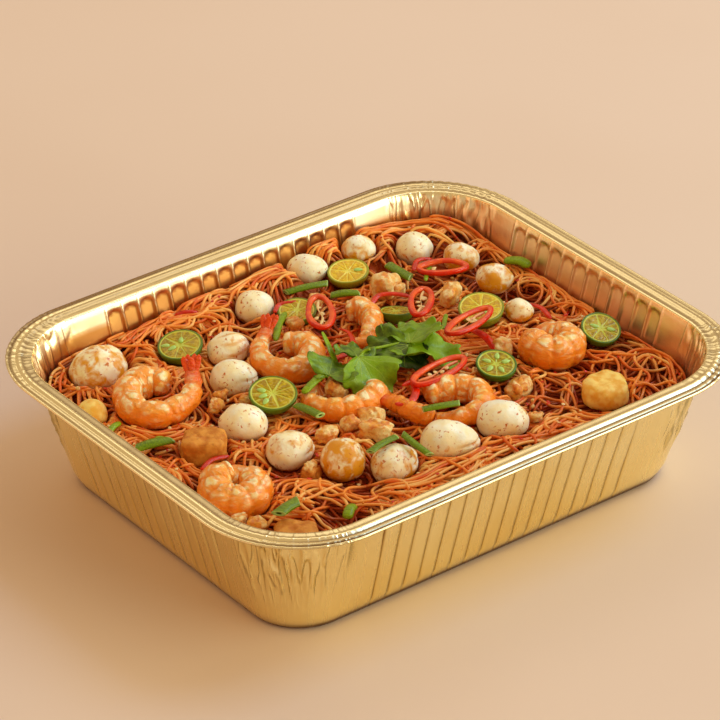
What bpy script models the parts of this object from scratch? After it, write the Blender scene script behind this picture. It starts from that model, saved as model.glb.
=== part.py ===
"""Foil tray meal: a fluted foil tray of noodles under eggs, prawns, citrus halves and other toppings.

The tray stands on the table. The origin is under the middle of its base, +X runs along its length,
+Y along its width and +Z up. Sizes in this file are millimetres, made into metres as each mesh is built.
Every topping is made in its own frame and placed by its object's location and rotation.
"""

import math

import bmesh
import bpy
from mathutils import Matrix, Vector

MM = 0.001

# Tray: overall sizes over the rim, the base inside the lower fillet, and the foil.
RIM_LENGTH = 319.3
RIM_WIDTH = 265.0
RIM_CORNER = 57.0
RIM_HEIGHT = 71.4
BASE_LENGTH = 257.0
BASE_WIDTH = 202.0
BASE_CORNER = 29.0
BASE_FILLET = 4.0
FOIL = 0.7
FLANGE = 12.6
CURL_WIDTH = 4.2
CURL_DROP = 4.8

# Flutes: narrow creases pressed into the straight stretches of the wall.
LONG_FLUTES = 16
SHORT_FLUTES = 12
FLUTE_SHARE = 0.82
CREASE_DEPTH = 1.1
CREASE_BOTTOM = 9.0
CREASE_TOP = 60.0

# Noodle bed: its level at the middle, how it rides up the back wall and sinks at the right wall.
NOODLE_LEVEL = 51.0
BACK_RISE = 5.0
RIGHT_SINK = 1.5
LUMP = 1.8
GAP = 0.35

# How coarse the round parts are.
CORNER_STEPS = 5
SIDE_STEPS = 4
PRAWN_SIDES = 7

# Ovals lying on the noodles: x, y, z of the middle, turn about Z, then length, width and height.
EGGS = [
    (-103, 94, 53, 10, 34, 27, 26),
    (-5, 92, 56, -30, 22, 19, 19),
    (39, 104, 58, -38, 23, 16, 17),
    (73, 103, 58, -38, 20, 16, 17),
    (99, 88, 57, -30, 21, 19, 19),
    (113, 65, 57, -50, 21, 17, 17),
    (114, 38, 56, -40, 21, 17, 17),
    (-41, 66, 56, -10, 24, 19, 19),
    (-56, 41, 56, -38, 26, 20, 20),
    (-77, 4, 55, -38, 26, 21, 21),
    (-73, -30, 55, -15, 26, 21, 20),
    (-58, -53, 55, -38, 24, 23, 22),
    (-37, -68, 52, 4, 27, 21, 20),
    (-5, -72, 55, -38, 31, 22, 21),
    (28, -73, 55, -45, 28, 22, 21),
    (103, 4, 56, -30, 16, 13, 13),
]
FISH_BALL = (-129.5, 62, 52, 0, 17, 17, 16)

# Prawns: the line down the middle of the body from head end to tail, then its thickest radius.
PRAWNS = [
    ([(-84, 56, 56), (-89, 68, 56), (-102, 70, 56), (-112, 60, 55), (-110, 46, 55), (-99, 37, 55),
      (-87, 35, 56), (-78, 44, 57), (-72, 58, 59)], 6.8),
    ([(-17, 51, 57), (-8, 45, 57), (-7, 34, 57), (-16, 26, 57), (-28, 26, 56), (-36, 34, 56),
      (-36, 46, 57), (-29, 56, 58), (-20, 63, 60), (-10, 68, 61)], 6.3),
    ([(22, 58, 57), (32, 57, 57), (36, 47, 58), (31, 37, 58), (22, 30, 57), (14, 26, 56)], 5.2),
    ([(-29, 9, 56), (-38, 0, 56), (-39.5, -12, 56), (-33, -20, 56), (-21, -19, 56), (-12, -12, 57),
      (-8, -1, 58)], 6.2),
    ([(8, -37, 56), (16, -33, 57), (27, -35, 57), (33, -43, 57), (30, -52, 56), (20, -56, 56),
      (10, -54, 55)], 5.8),
    ([(-113, -43, 55), (-105, -38, 55), (-109, -30, 55), (-121, -31, 55), (-128, -43, 54),
      (-123, -55, 54), (-110, -57, 55), (-100, -49, 56)], 7.2),
    ([(98, -30, 55), (105, -35, 55), (101, -44, 55), (89, -44, 55), (81, -36, 55), (86, -23, 55),
      (97, -18, 56), (108, -21, 56)], 7.2),
    ([(-15, -30, 56), (-9, -37, 57), (-4, -46, 57), (1, -57, 57)], 4.2),
]

# Halved citrus fruit, cut face up: x, y, z of the face's middle, which way and how far it leans, diameter.
CITRUS = [
    (-61, 81, 59, 190, 10, 25.0),
    (-54.5, 9.5, 62, 232, 16, 24.5),
    (54, 88, 59, 215, 8, 22.0),
    (10, 75, 57, 235, 10, 21.0),
    (49.5, 41, 58, 52, 14, 18.5),
    (85, 14, 60, 232, 8, 25.0),
    (55, -35, 60, 235, 12, 21.5),
    (124, -37, 57, 270, 18, 22.0),
]
CITRUS_DEPTH = 0.78

# Soft blocks with rounded edges: x, y, z, turn about Z, lean, then length, width and height.
TOFU_PUFFS = [
    (-104.5, 0, 54, -35, 0, 22, 18, 14),
    (-114, -89, 50, -38, 0, 22, 18, 13),
    (-74.5, -48, 51, 30, 0, 10, 8, 8),
]
TOFU_DICE = [
    (-30, -44, 57, -48, 6, 17, 9, 10),
    (-24, -32, 56, -40, -6, 13, 8, 8),
    (-51, -31, 56, -10, 10, 11, 9, 8),
    (-24, -3, 59, -60, 10, 12, 8, 9),
    (58, -49.5, 51, 5, -8, 16, 10, 8),
    (73, -18, 54, -20, 8, 11, 9, 9),
    (61, 65, 58, 50, 12, 12, 12, 13),
]
FISH_CAKE = (88, -82, 54, 24, 14)
EDGE_TRIM = 0.2

# Red chilli cut on the slant: x, y, z, turn about Z, lean along the slice, then length and width.
CHILLI = [
    (11, 56, 64, 58, 0, 34, 17),
    (59, 32, 64.5, 45, 0, 31, 14),
    (66, 1, 64.5, 12, 0, 36, 15),
    (23, -28, 64.5, 8, 0, 39, 16),
    (92, 55, 63, -30, 0, 29, 16),
]
CHILLI_WALL = 2.4
CHILLI_THICK = 2.6

# Spring onion: both ends of each piece, then its radius.
ONION = [
    ((-134, 17, 56), (-117, 12, 57), 3.2),
    ((-117, -79, 60.5), (-103, -76, 60.5), 3.2),
    ((-51, -66, 63.5), (-33, -64, 64.5), 2.0),
    ((-29, -64, 64.5), (-27, -83, 61), 2.0),
    ((-6, -51, 63.5), (12, -58, 64), 2.2),
    ((-50, -5, 60), (-49, -23, 62.5), 2.6),
    ((15, 91.5, 58), (38, 85, 58.5), 2.4),
    ((28, 69, 62), (40, 61, 63), 2.6),
    ((75, 80, 59), (76, 62, 59), 3.0),
]


def empty_the_scene():
    """Take away whatever objects the file opened with."""
    for thing in list(bpy.data.objects):
        bpy.data.objects.remove(thing, do_unlink=True)


def new_collection(name):
    group = bpy.data.collections.new(name)
    bpy.context.scene.collection.children.link(group)
    return group


def new_material(name, colour, roughness, metallic=0.0):
    material = bpy.data.materials.new(name)
    material.use_nodes = True
    shader = material.node_tree.nodes["Principled BSDF"]
    shader.inputs["Base Color"].default_value = (*colour, 1.0)
    shader.inputs["Roughness"].default_value = roughness
    shader.inputs["Metallic"].default_value = metallic
    return material


def new_object(name, shape, group, material=None, place=(0, 0, 0), turn=None):
    """Make an object from a bmesh in millimetres; place is in millimetres and turn is a matrix."""
    bmesh.ops.scale(shape, vec=(MM, MM, MM), verts=shape.verts)
    mesh = bpy.data.meshes.new(name)
    shape.to_mesh(mesh)
    shape.free()
    thing = bpy.data.objects.new(name, mesh)
    group.objects.link(thing)
    if material:
        mesh.materials.append(material)
    if turn:
        thing.rotation_euler = turn.to_euler()
    thing.location = Vector(place) * MM
    return thing


def turned(about_z, lean=0.0):
    """A rotation that leans a thing about its own width, then turns it about Z, in degrees."""
    return Matrix.Rotation(math.radians(about_z), 3, "Z") @ Matrix.Rotation(math.radians(lean), 3, "Y")


# Tray and noodle bed: both are rings of points round a rounded rectangle.

def stations(long_flutes, short_flutes):
    """Where a ring's points stand: (side, share of it, round the corner?, in a crease?), anticlockwise."""
    places = []
    for side in range(4):
        flutes = short_flutes if side % 2 == 0 else long_flutes
        if flutes:
            places.append((side, 0.0, False, False))
            first = 0.5 - FLUTE_SHARE / 2
            for k in range(2 * flutes + 1):
                places.append((side, first + FLUTE_SHARE * k / (2 * flutes), False, k % 2 == 0))
        else:
            places += [(side, k / SIDE_STEPS, False, False) for k in range(SIDE_STEPS)]
        steps = CORNER_STEPS + 1 if flutes else CORNER_STEPS
        places += [(side, k / steps, True, False) for k in range(steps)]
    return places


def order(place):
    """A number that grows anticlockwise round the ring, the same for fine and coarse rings."""
    side, share, corner, _ = place
    return side + (0.7 + 0.3 * share if corner else 0.7 * share)


def ring(places, length, width, corner, z, crease=0.0):
    """Points round a rounded rectangle; z may be a function of x and y."""
    points = []
    for side, share, bend, creased in places:
        along = (width if side % 2 == 0 else length) / 2 - corner
        out = (length if side % 2 == 0 else width) / 2
        if bend:
            angle = share * math.pi / 2
            u = out - corner + corner * math.cos(angle)
            v = along + corner * math.sin(angle)
        else:
            u = out - (crease if creased else 0.0)
            v = (2 * share - 1) * along
        turn = side * math.pi / 2
        x = u * math.cos(turn) - v * math.sin(turn)
        y = u * math.sin(turn) + v * math.cos(turn)
        points.append((x, y, z(x, y) if callable(z) else z))
    return points


def wall_size(z):
    """Length, width and corner radius of the wall's outside at a height, by a straight slope."""
    share = (z - BASE_FILLET) / (RIM_HEIGHT - BASE_FILLET)
    top = (RIM_LENGTH - 2 * FLANGE, RIM_WIDTH - 2 * FLANGE, RIM_CORNER - FLANGE)
    base = (BASE_LENGTH, BASE_WIDTH, BASE_CORNER)
    return [b + share * (t - b) for b, t in zip(base, top)]


def inset(size, by):
    length, width, corner = size
    return length - 2 * by, width - 2 * by, corner - by


def stitch(shape, low, low_places, high, high_places):
    """Join two rings with triangles, taking the next point of whichever ring lags behind."""
    low_at = [order(p) for p in low_places] + [4.0]
    high_at = [order(p) for p in high_places] + [4.0]
    i = j = 0
    while i < len(low) or j < len(high):
        a, b = low[i % len(low)], high[j % len(high)]
        low_next = i < len(low) and (j == len(high) or low_at[i + 1] <= high_at[j + 1])
        if low_next:
            shape.faces.new((a, low[(i + 1) % len(low)], b))
            i += 1
        else:
            shape.faces.new((a, high[(j + 1) % len(high)], b))
            j += 1


def loft(shape, rings):
    """Skin a run of (points, places) rings, each going outwards or upwards from the last."""
    made = [([shape.verts.new(p) for p in points], places) for points, places in rings]
    for (low, low_places), (high, high_places) in zip(made, made[1:]):
        if len(low) == len(high):
            for k in range(len(low)):
                n = (k + 1) % len(low)
                shape.faces.new((low[k], low[n], high[n], high[k]))
        else:
            stitch(shape, low, low_places, high, high_places)
    return made[0][0], made[-1][0]


def make_tray(group):
    """One sheet of foil: base, creased wall, plain band, flange and rolled curl, thickened inwards."""
    fine = stations(LONG_FLUTES, SHORT_FLUTES)
    coarse = stations(0, 0)
    rim = inset((RIM_LENGTH, RIM_WIDTH, RIM_CORNER), FOIL)
    top = RIM_HEIGHT - FOIL
    base = (BASE_LENGTH, BASE_WIDTH, BASE_CORNER)
    rings = [
        (ring(coarse, *inset(base, BASE_FILLET), 0.0), coarse),
        (ring(coarse, *inset(base, 1.2), 1.2), coarse),
        (ring(coarse, *wall_size(BASE_FILLET), BASE_FILLET), coarse),
        (ring(fine, *wall_size(CREASE_BOTTOM), CREASE_BOTTOM), fine),
        (ring(fine, *wall_size(CREASE_BOTTOM + 6), CREASE_BOTTOM + 6, CREASE_DEPTH), fine),
        (ring(fine, *wall_size(CREASE_TOP - 3), CREASE_TOP - 3, CREASE_DEPTH), fine),
        (ring(fine, *wall_size(CREASE_TOP), CREASE_TOP), fine),
        (ring(coarse, *wall_size(top - 2.4), top - 2.4), coarse),
        (ring(coarse, *inset(rim, FLANGE - 3.2), top - 0.4), coarse),
        (ring(coarse, *inset(rim, CURL_WIDTH), top), coarse),
        (ring(coarse, *inset(rim, 1.0), top - 1.0), coarse),
        (ring(coarse, *rim, top - 2.6), coarse),
        (ring(coarse, *inset(rim, 0.8), top - CURL_DROP + 0.6), coarse),
        (ring(coarse, *inset(rim, 2.4), top - CURL_DROP), coarse),
    ]
    shape = bmesh.new()
    base_edge, _ = loft(shape, rings)
    shape.faces.new(reversed(base_edge))
    tray = new_object("tray", shape, group, new_material("gold_foil", (0.78, 0.56, 0.27), 0.3, 1.0))
    wall = tray.modifiers.new("foil", "SOLIDIFY")
    wall.thickness = FOIL * MM
    wall.offset = -1.0
    return tray


def noodle_height(x, y):
    """The bed's top: level, riding up the back wall and sinking to the right, with slow lumps."""
    rise = BACK_RISE * max(0.0, y / (RIM_WIDTH / 2)) ** 3
    sink = RIGHT_SINK * max(0.0, x / (RIM_LENGTH / 2)) ** 2
    return NOODLE_LEVEL + rise - sink + LUMP * math.sin(x / 16.0 + 1.0) * math.cos(y / 13.0)


def make_noodles(group, cutters):
    """The noodles as one bed that fills the tray up to its uneven top, hollowed under each topping."""
    places = stations(0, 0)
    clear = FOIL + CREASE_DEPTH + GAP
    floor = FOIL + GAP
    brim = noodle_height(0, 0) - 1.5
    rings = [
        (ring(places, *inset((BASE_LENGTH, BASE_WIDTH, BASE_CORNER), BASE_FILLET + clear), floor), places),
        (ring(places, *inset(wall_size(BASE_FILLET), clear), BASE_FILLET + 1.0), places),
        (ring(places, *inset(wall_size(brim), clear), brim - 1.0), places),
    ]
    brim_size = inset(wall_size(brim), clear + 0.6)
    for share in (1.0, 0.88, 0.74, 0.58, 0.40, 0.20):
        size = [share * side for side in brim_size]
        rings.append((ring(places, *size, noodle_height), places))
    shape = bmesh.new()
    bottom, top = loft(shape, rings)
    shape.faces.new(reversed(bottom))
    shape.faces.new(top)
    bmesh.ops.triangulate(shape, faces=shape.faces[:])
    bed = new_object("noodles", shape, group, new_material("noodle", (0.62, 0.25, 0.10), 0.5))
    cut = bed.modifiers.new("hollows", "BOOLEAN")
    cut.operation = "DIFFERENCE"
    cut.solver = "EXACT"
    cut.operand_type = "COLLECTION"
    cut.collection = cutters
    return bed


# Toppings: each function makes one shape in its own frame, grown all over by a given amount.

def oval(length, width, height, grow=0.0):
    """An egg: an oval that is a little blunter at its -X end."""
    shape = bmesh.new()
    bmesh.ops.create_icosphere(shape, subdivisions=2, radius=1.0)
    for v in shape.verts:
        taper = 1.0 - 0.10 * v.co.x
        v.co.x *= length / 2 + grow
        v.co.y *= (width / 2) * taper + grow
        v.co.z *= (height / 2) * taper + grow
    return shape


def half_fruit(diameter, grow=0.0):
    """Half a round fruit: a flat cut face at z = 0 over a bowl of rind, a little shallower than round."""
    shape = bmesh.new()
    bmesh.ops.create_uvsphere(shape, u_segments=12, v_segments=6, radius=diameter / 2 + grow)
    upper = [v for v in shape.verts if v.co.z > 0.1 * diameter]
    bmesh.ops.delete(shape, geom=upper, context="VERTS")
    bmesh.ops.holes_fill(shape, edges=[e for e in shape.edges if e.is_boundary], sides=0)
    bmesh.ops.scale(shape, vec=(1.0, 1.0, CITRUS_DEPTH), verts=shape.verts)
    return shape


def block(length, width, height, grow=0.0):
    """A soft block with its edges and corners taken off."""
    shape = bmesh.new()
    bmesh.ops.create_cube(shape, size=1.0)
    bmesh.ops.scale(shape, vec=(length, width, height), verts=shape.verts)
    trim = EDGE_TRIM * min(length, width, height)
    bmesh.ops.bevel(shape, geom=shape.edges[:], offset=trim, segments=1, affect="EDGES")
    for v in shape.verts:
        v.co += grow * Vector([math.copysign(1.0, c) for c in v.co])
    return shape


def disc(diameter, height, grow=0.0):
    """A round cake with its edges taken off."""
    shape = bmesh.new()
    radius = diameter / 2 + grow
    depth = height + 2 * grow
    bmesh.ops.create_cone(shape, cap_ends=True, segments=12, radius1=radius, radius2=radius, depth=depth)
    rims = [e for e in shape.edges if abs(e.verts[0].co.z - e.verts[1].co.z) < 0.01]
    bmesh.ops.bevel(shape, geom=rims, offset=EDGE_TRIM * height, segments=1, affect="EDGES")
    return shape


def prawn(points, radius, grow=0.0):
    """A peeled prawn: a round body along its bent line, thick at the head and flat at the tail fan."""
    line = [Vector(point) for point in points]
    shape = bmesh.new()
    rings = []
    last = len(line) - 1
    for k, middle in enumerate(line):
        along = (line[min(k + 1, last)] - line[max(k - 1, 0)]).normalized()
        side = along.cross(Vector((0, 0, 1))).normalized()
        up = side.cross(along)
        share = k / last
        size = radius * (0.62 if k == 0 else 1.0 - 0.52 * share ** 1.4) + grow
        flat = 1.0 if share < 1.0 else 0.55
        if k in (0, last):
            middle = middle + along * (grow if k else -grow)
        section = []
        for s in range(PRAWN_SIDES):
            angle = 2 * math.pi * s / PRAWN_SIDES
            section.append(shape.verts.new(middle + side * size * math.cos(angle)
                                           + up * size * flat * math.sin(angle)))
        rings.append(section)
    for low, high in zip(rings, rings[1:]):
        for s in range(PRAWN_SIDES):
            n = (s + 1) % PRAWN_SIDES
            shape.faces.new((low[s], low[n], high[n], high[s]))
    shape.faces.new(reversed(rings[0]))
    shape.faces.new(rings[-1])
    bmesh.ops.recalc_face_normals(shape, faces=shape.faces[:])
    return shape


def slanted_ring(length, width):
    """A slice of hollow chilli: a long oval ring."""
    shape = bmesh.new()
    profile = [(-0.5, -0.5), (0.5, -0.5), (0.5, 0.5), (-0.5, 0.5)]
    rings = []
    for k in range(10):
        angle = 2 * math.pi * k / 10
        section = []
        for out, up in profile:
            x = ((length - CHILLI_WALL) / 2 + out * CHILLI_WALL) * math.cos(angle)
            y = ((width - CHILLI_WALL) / 2 + out * CHILLI_WALL) * math.sin(angle)
            section.append(shape.verts.new((x, y, up * CHILLI_THICK)))
        rings.append(section)
    for low, high in zip(rings, rings[1:] + rings[:1]):
        for s in range(4):
            n = (s + 1) % 4
            shape.faces.new((low[s], high[s], high[n], low[n]))
    bmesh.ops.recalc_face_normals(shape, faces=shape.faces[:])
    return shape


def stem(length, radius):
    """A cut length of spring onion along its own X axis."""
    shape = bmesh.new()
    bmesh.ops.create_cone(shape, cap_ends=True, segments=7, radius1=radius, radius2=radius, depth=length)
    bmesh.ops.rotate(shape, matrix=Matrix.Rotation(math.pi / 2, 3, "Y"), verts=shape.verts)
    return shape


def sunk(name, maker, sizes, group, cutters, material, place=(0, 0, 0), turn=None):
    """Place a topping, and a slightly larger copy of it that hollows the noodles."""
    new_object(name, maker(*sizes), group, material, place, turn)
    cutter = new_object(name + "_hollow", maker(*sizes, grow=GAP), cutters, None, place, turn)
    cutter.hide_render = True
    cutter.display_type = "WIRE"


def make_eggs(group, cutters):
    for k, (x, y, z, turn, *size) in enumerate(EGGS, 1):
        shell = new_material(f"egg_{k:02d}", (0.90, 0.78, 0.60), 0.35)
        sunk(f"egg_{k:02d}", oval, size, group, cutters, shell, (x, y, z), turned(turn))
    x, y, z, turn, *size = FISH_BALL
    yellow = new_material("fish_ball", (0.86, 0.62, 0.22), 0.4)
    sunk("fish_ball", oval, size, group, cutters, yellow, (x, y, z), turned(turn))


def make_prawns(group, cutters):
    for k, (points, radius) in enumerate(PRAWNS, 1):
        flesh = new_material(f"prawn_{k}", (0.90, 0.42, 0.16), 0.35)
        sunk(f"prawn_{k}", prawn, (points, radius), group, cutters, flesh)


def make_citrus(group, cutters):
    for k, (x, y, z, towards, lean, diameter) in enumerate(CITRUS, 1):
        rind = new_material(f"citrus_half_{k}", (0.30, 0.42, 0.06), 0.4)
        sunk(f"citrus_half_{k}", half_fruit, (diameter,), group, cutters, rind, (x, y, z),
             turned(towards, lean))


def make_tofu(group, cutters):
    for k, (x, y, z, turn, lean, *size) in enumerate(TOFU_PUFFS, 1):
        skin = new_material(f"tofu_puff_{k}", (0.66, 0.34, 0.09), 0.6)
        sunk(f"tofu_puff_{k}", block, size, group, cutters, skin, (x, y, z), turned(turn, lean))
    for k, (x, y, z, turn, lean, *size) in enumerate(TOFU_DICE, 1):
        skin = new_material(f"tofu_dice_{k}", (0.80, 0.58, 0.32), 0.6)
        sunk(f"tofu_dice_{k}", block, size, group, cutters, skin, (x, y, z), turned(turn, lean))
    x, y, z, *size = FISH_CAKE
    golden = new_material("fish_cake", (0.84, 0.52, 0.20), 0.5)
    sunk("fish_cake", disc, size, group, cutters, golden, (x, y, z))


def make_chilli(group):
    for k, (x, y, z, turn, lean, length, width) in enumerate(CHILLI, 1):
        red = new_material(f"chilli_{k}", (0.75, 0.06, 0.03), 0.25)
        new_object(f"chilli_{k}", slanted_ring(length, width), group, red, (x, y, z), turned(turn, lean))


def make_onion(group):
    for k, (start, end, radius) in enumerate(ONION, 1):
        green = new_material(f"spring_onion_{k}", (0.22, 0.42, 0.06), 0.35)
        run = Vector(end) - Vector(start)
        turn = Vector((1, 0, 0)).rotation_difference(run).to_matrix()
        middle = (Vector(start) + Vector(end)) / 2
        new_object(f"spring_onion_{k}", stem(run.length, radius), group, green, middle, turn)


def main():
    empty_the_scene()
    meal = new_collection("foil_tray_meal")
    cutters = new_collection("hollows_under_toppings")
    make_tray(meal)
    make_eggs(meal, cutters)
    make_prawns(meal, cutters)
    make_citrus(meal, cutters)
    make_tofu(meal, cutters)
    make_chilli(meal)
    make_onion(meal)
    make_noodles(meal, cutters)


main()
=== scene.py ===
"""Looks of a gold foil tray of fried noodles, with prawns, quail eggs, citrus halves, tofu and garnish.

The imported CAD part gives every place. Sizes here are millimetres, and become metres where a mesh is
made. X runs along the tray's long side, Y across it, and Z up from the table.
"""

import logging
from dataclasses import dataclass, field
from enum import Enum
from typing import Callable

import bpy
import numpy as np
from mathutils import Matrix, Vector


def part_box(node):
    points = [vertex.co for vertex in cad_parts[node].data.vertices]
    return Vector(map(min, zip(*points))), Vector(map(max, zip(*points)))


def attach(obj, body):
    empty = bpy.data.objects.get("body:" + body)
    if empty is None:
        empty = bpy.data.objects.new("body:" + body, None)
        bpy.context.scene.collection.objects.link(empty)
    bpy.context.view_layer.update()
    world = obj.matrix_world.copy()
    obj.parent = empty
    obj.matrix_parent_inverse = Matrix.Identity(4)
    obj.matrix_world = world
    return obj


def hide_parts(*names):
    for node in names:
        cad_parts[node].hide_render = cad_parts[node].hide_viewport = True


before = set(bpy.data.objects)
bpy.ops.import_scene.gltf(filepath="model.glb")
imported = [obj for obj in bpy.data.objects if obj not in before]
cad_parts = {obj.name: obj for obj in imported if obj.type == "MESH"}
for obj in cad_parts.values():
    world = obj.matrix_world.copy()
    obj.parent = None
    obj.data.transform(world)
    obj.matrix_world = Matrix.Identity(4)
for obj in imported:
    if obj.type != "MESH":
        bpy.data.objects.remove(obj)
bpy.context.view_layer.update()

Array = np.ndarray
Colour = tuple[float, float, float]
Point = tuple[float, float, float]
Material = bpy.types.Material
Socket = bpy.types.NodeSocket

MM = 0.001
TURN = 2 * np.pi
OPEN_SKY = 500.0
WARM: Colour = (1.0, 0.80, 0.44)
log = logging.getLogger("foil_tray_meal")


class Slot(Enum):
    """Material slots of the record."""

    FOIL = "gold_foil"
    NOODLE = "noodle"
    EGG = "egg"
    FISH = "fish_paste"
    PRAWN = "prawn"
    CITRUS = "citrus"
    TOFU = "tofu"
    CHILLI = "chilli"
    GREEN = "spring_onion"


# --- Shapes ------------------------------------------------------------


@dataclass
class Shape:
    """A surface in millimetres: points, faces of four and three corners, and named values at the points."""

    points: Array
    quads: Array
    tris: Array
    values: dict[str, Array] = field(default_factory=dict)

    def placed(self, axes: Array, centre: Array) -> "Shape":
        """Return the shape with its own x, y and z laid along three directions, about a middle.

        Args:
            axes: The three directions as rows.
            centre: The middle, in the frame.

        Returns:
            The placed shape, which shares this one's faces and values.
        """
        return Shape(self.points @ axes + centre, self.quads, self.tris, self.values)

    def marked(self, **values: float) -> "Shape":
        """Return the shape with values that are the same all over it."""
        full = {name: np.full(len(self.points), float(value)) for name, value in values.items()}
        return Shape(self.points, self.quads, self.tris, {**self.values, **full})


def together(*parts: Array | float) -> Array:
    """Stretch arrays to one shape and put them side by side along a new last axis."""
    return np.stack(np.broadcast_arrays(*parts), -1)


def join(shapes: list[Shape]) -> Shape:
    """Put several shapes into one; a value that a shape lacks is 0 on it.

    Args:
        shapes: The shapes, in the order that they are put together.

    Returns:
        One shape with the points, faces and values of all.
    """
    starts = np.cumsum([0] + [len(shape.points) for shape in shapes[:-1]])
    names = sorted({name for shape in shapes for name in shape.values})
    values = {}
    for name in names:
        sample = next(shape.values[name] for shape in shapes if name in shape.values)
        blank = [np.zeros((len(shape.points),) + sample.shape[1:]) for shape in shapes]
        values[name] = np.concatenate([s.values.get(name, b) for s, b in zip(shapes, blank)])
    return Shape(
        np.concatenate([shape.points for shape in shapes]),
        np.concatenate([shape.quads + start for shape, start in zip(shapes, starts)]),
        np.concatenate([shape.tris + start for shape, start in zip(shapes, starts)]),
        values,
    )


def surface(
    points: Array,
    around: bool = True,
    closed: bool = False,
    caps: tuple[bool, bool] = (False, False),
    **values: Array | float,
) -> Shape:
    """Make a surface from a grid of points.

    Neighbouring points of the grid make a face, which looks outwards when the columns run anticlockwise
    seen against the way that the rows run.

    Args:
        points: The grid, rows by columns by 3.
        around: Whether the last column joins the first.
        closed: Whether the last row joins the first.
        caps: Whether the first and the last row are closed by a fan round their middle.
        values: Named values, one for the whole, one a point, or one vector a point.

    Returns:
        The surface.
    """
    rows, columns = points.shape[:2]
    number = np.arange(rows * columns).reshape(rows, columns)
    number = np.vstack([number, number[:1]]) if closed else number
    number = np.hstack([number, number[:, :1]]) if around else number
    corners = [number[:-1, :-1], number[:-1, 1:], number[1:, 1:], number[1:, :-1]]
    quads = np.stack(corners, -1).reshape(-1, 4)
    flat = [points.reshape(-1, 3)]
    named = {}
    for name, value in values.items():
        value = np.asarray(value, float)
        full = value if value.ndim == 3 else np.broadcast_to(value, (rows, columns))
        named[name] = [full.reshape((rows * columns,) + full.shape[2:])]
    tris = np.zeros((0, 3), int)
    for end, capped in enumerate(caps):
        if not capped:
            continue
        pole = rows * columns + len(flat) - 1
        rim = number[-end]
        ahead, behind = (rim[1:], rim[:-1]) if end == 0 else (rim[:-1], rim[1:])
        fan = np.stack([np.full(len(rim) - 1, pole), ahead, behind], -1)
        tris = np.concatenate([tris, fan])
        ring = slice(0, columns) if end == 0 else slice((rows - 1) * columns, rows * columns)
        flat.append(flat[0][ring].mean(0, keepdims=True))
        for name in named:
            named[name].append(named[name][0][ring].mean(0, keepdims=True))
    return Shape(
        np.concatenate(flat), quads, tris, {name: np.concatenate(parts) for name, parts in named.items()}
    )


def solid(points: Array, **values: Array | float) -> Shape:
    """Make a surface from a grid whose two ends are closed, with named values."""
    return surface(points, caps=(True, True), **values)


def waves(points: Array, size: float, seed: int, count: int = 12) -> Array:
    """Smooth unevenness, mostly between -1 and 1.

    It is the sum of sines that run through space in drawn directions, each with a drawn phase and a
    length near the given size, scaled to stay near 1.

    Args:
        points: Points, with 3 numbers along the last axis.
        size: Length of the waves.
        seed: Seed of the draw.
        count: Number of sines.

    Returns:
        One value a point.
    """
    rng = np.random.default_rng(seed)
    way = rng.normal(size=(count, 3))
    way /= np.linalg.norm(way, axis=1, keepdims=True) * size * rng.uniform(0.7, 1.5, (count, 1))
    phase = rng.uniform(0, TURN, count)
    return np.sin(TURN * points @ way.T + phase).sum(-1) / np.sqrt(count)


def smooth(value: Array, low: float, high: float) -> Array:
    """Rise from 0 at low to 1 at high, level at both ends: 3t squared less 2t cubed."""
    share = np.clip((value - low) / (high - low), 0, 1)
    return share * share * (3 - 2 * share)


def unit(vectors: Array) -> Array:
    """Scale vectors to length 1."""
    return vectors / np.maximum(np.linalg.norm(vectors, axis=-1, keepdims=True), 1e-9)


def spline(points: Array, spacing: float) -> Array:
    """Run a smooth line through points, as evenly spaced points.

    Between two points it is the Catmull-Rom cubic of the four nearest, and is then cut to even lengths.

    Args:
        points: The points to pass through, 2 or 3 numbers each.
        spacing: Distance between the points of the result, about.

    Returns:
        The points of the line.
    """
    points = np.asarray(points, float)
    before, after = 2 * points[:1] - points[1:2], 2 * points[-1:] - points[-2:-1]
    full = np.concatenate([before, points, after])
    share = np.linspace(0, 1, 24, endpoint=False)[None, :, None]
    a, b, c, d = (full[k : len(full) - 3 + k, None] for k in range(4))
    line = b + share / 2 * (c - a + share * (2 * a - 5 * b + 4 * c - d + share * (3 * (b - c) + d - a)))
    line = np.concatenate([line.reshape(-1, points.shape[1]), points[-1:]])
    return even(line, spacing)


def run_of(line: Array) -> Array:
    """Distance along a line at each of its points."""
    return np.concatenate([[0], np.cumsum(np.linalg.norm(np.diff(line, axis=0), axis=1))])


def even(line: Array, spacing: float) -> Array:
    """Cut a line of points into steps of one length, near the given spacing.

    Args:
        line: The points.
        spacing: About how far apart the new ones are.

    Returns:
        The new points, from the first to the last.
    """
    run = run_of(line)
    steps = max(2, int(round(run[-1] / spacing)) + 1)
    at = np.linspace(0, run[-1], steps)
    return np.stack([np.interp(at, run, line[:, k]) for k in range(line.shape[1])], -1)


def tube(line: Array, section: Array, up: Array | None = None) -> tuple[Array, Array]:
    """Carry a profile along a line.

    At each point of the line the profile stands square to it: its first number runs along the direction
    nearest to up, and its second to the side.

    Args:
        line: The centre line, n by 3.
        section: The profile, columns by 2, or one for each point of the line, n by columns by 2.
        up: Direction that the first number follows; straight up unless given.

    Returns:
        The grid of points, and the distance along the line at each row.
    """
    way = unit(np.gradient(line, axis=0))
    side = unit(np.cross(way, np.array([0.0, 0.0, 1.0]) if up is None else up))
    rise = np.cross(side, way)
    section = np.broadcast_to(section, (len(line),) + section.shape[-2:])
    grid = line[:, None] + section[..., :1] * rise[:, None] + section[..., 1:] * side[:, None]
    return grid, run_of(line)


def bearings(count: int) -> Array:
    """Angles that share out a full turn evenly, from 0."""
    return TURN * np.arange(count) / count


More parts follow.
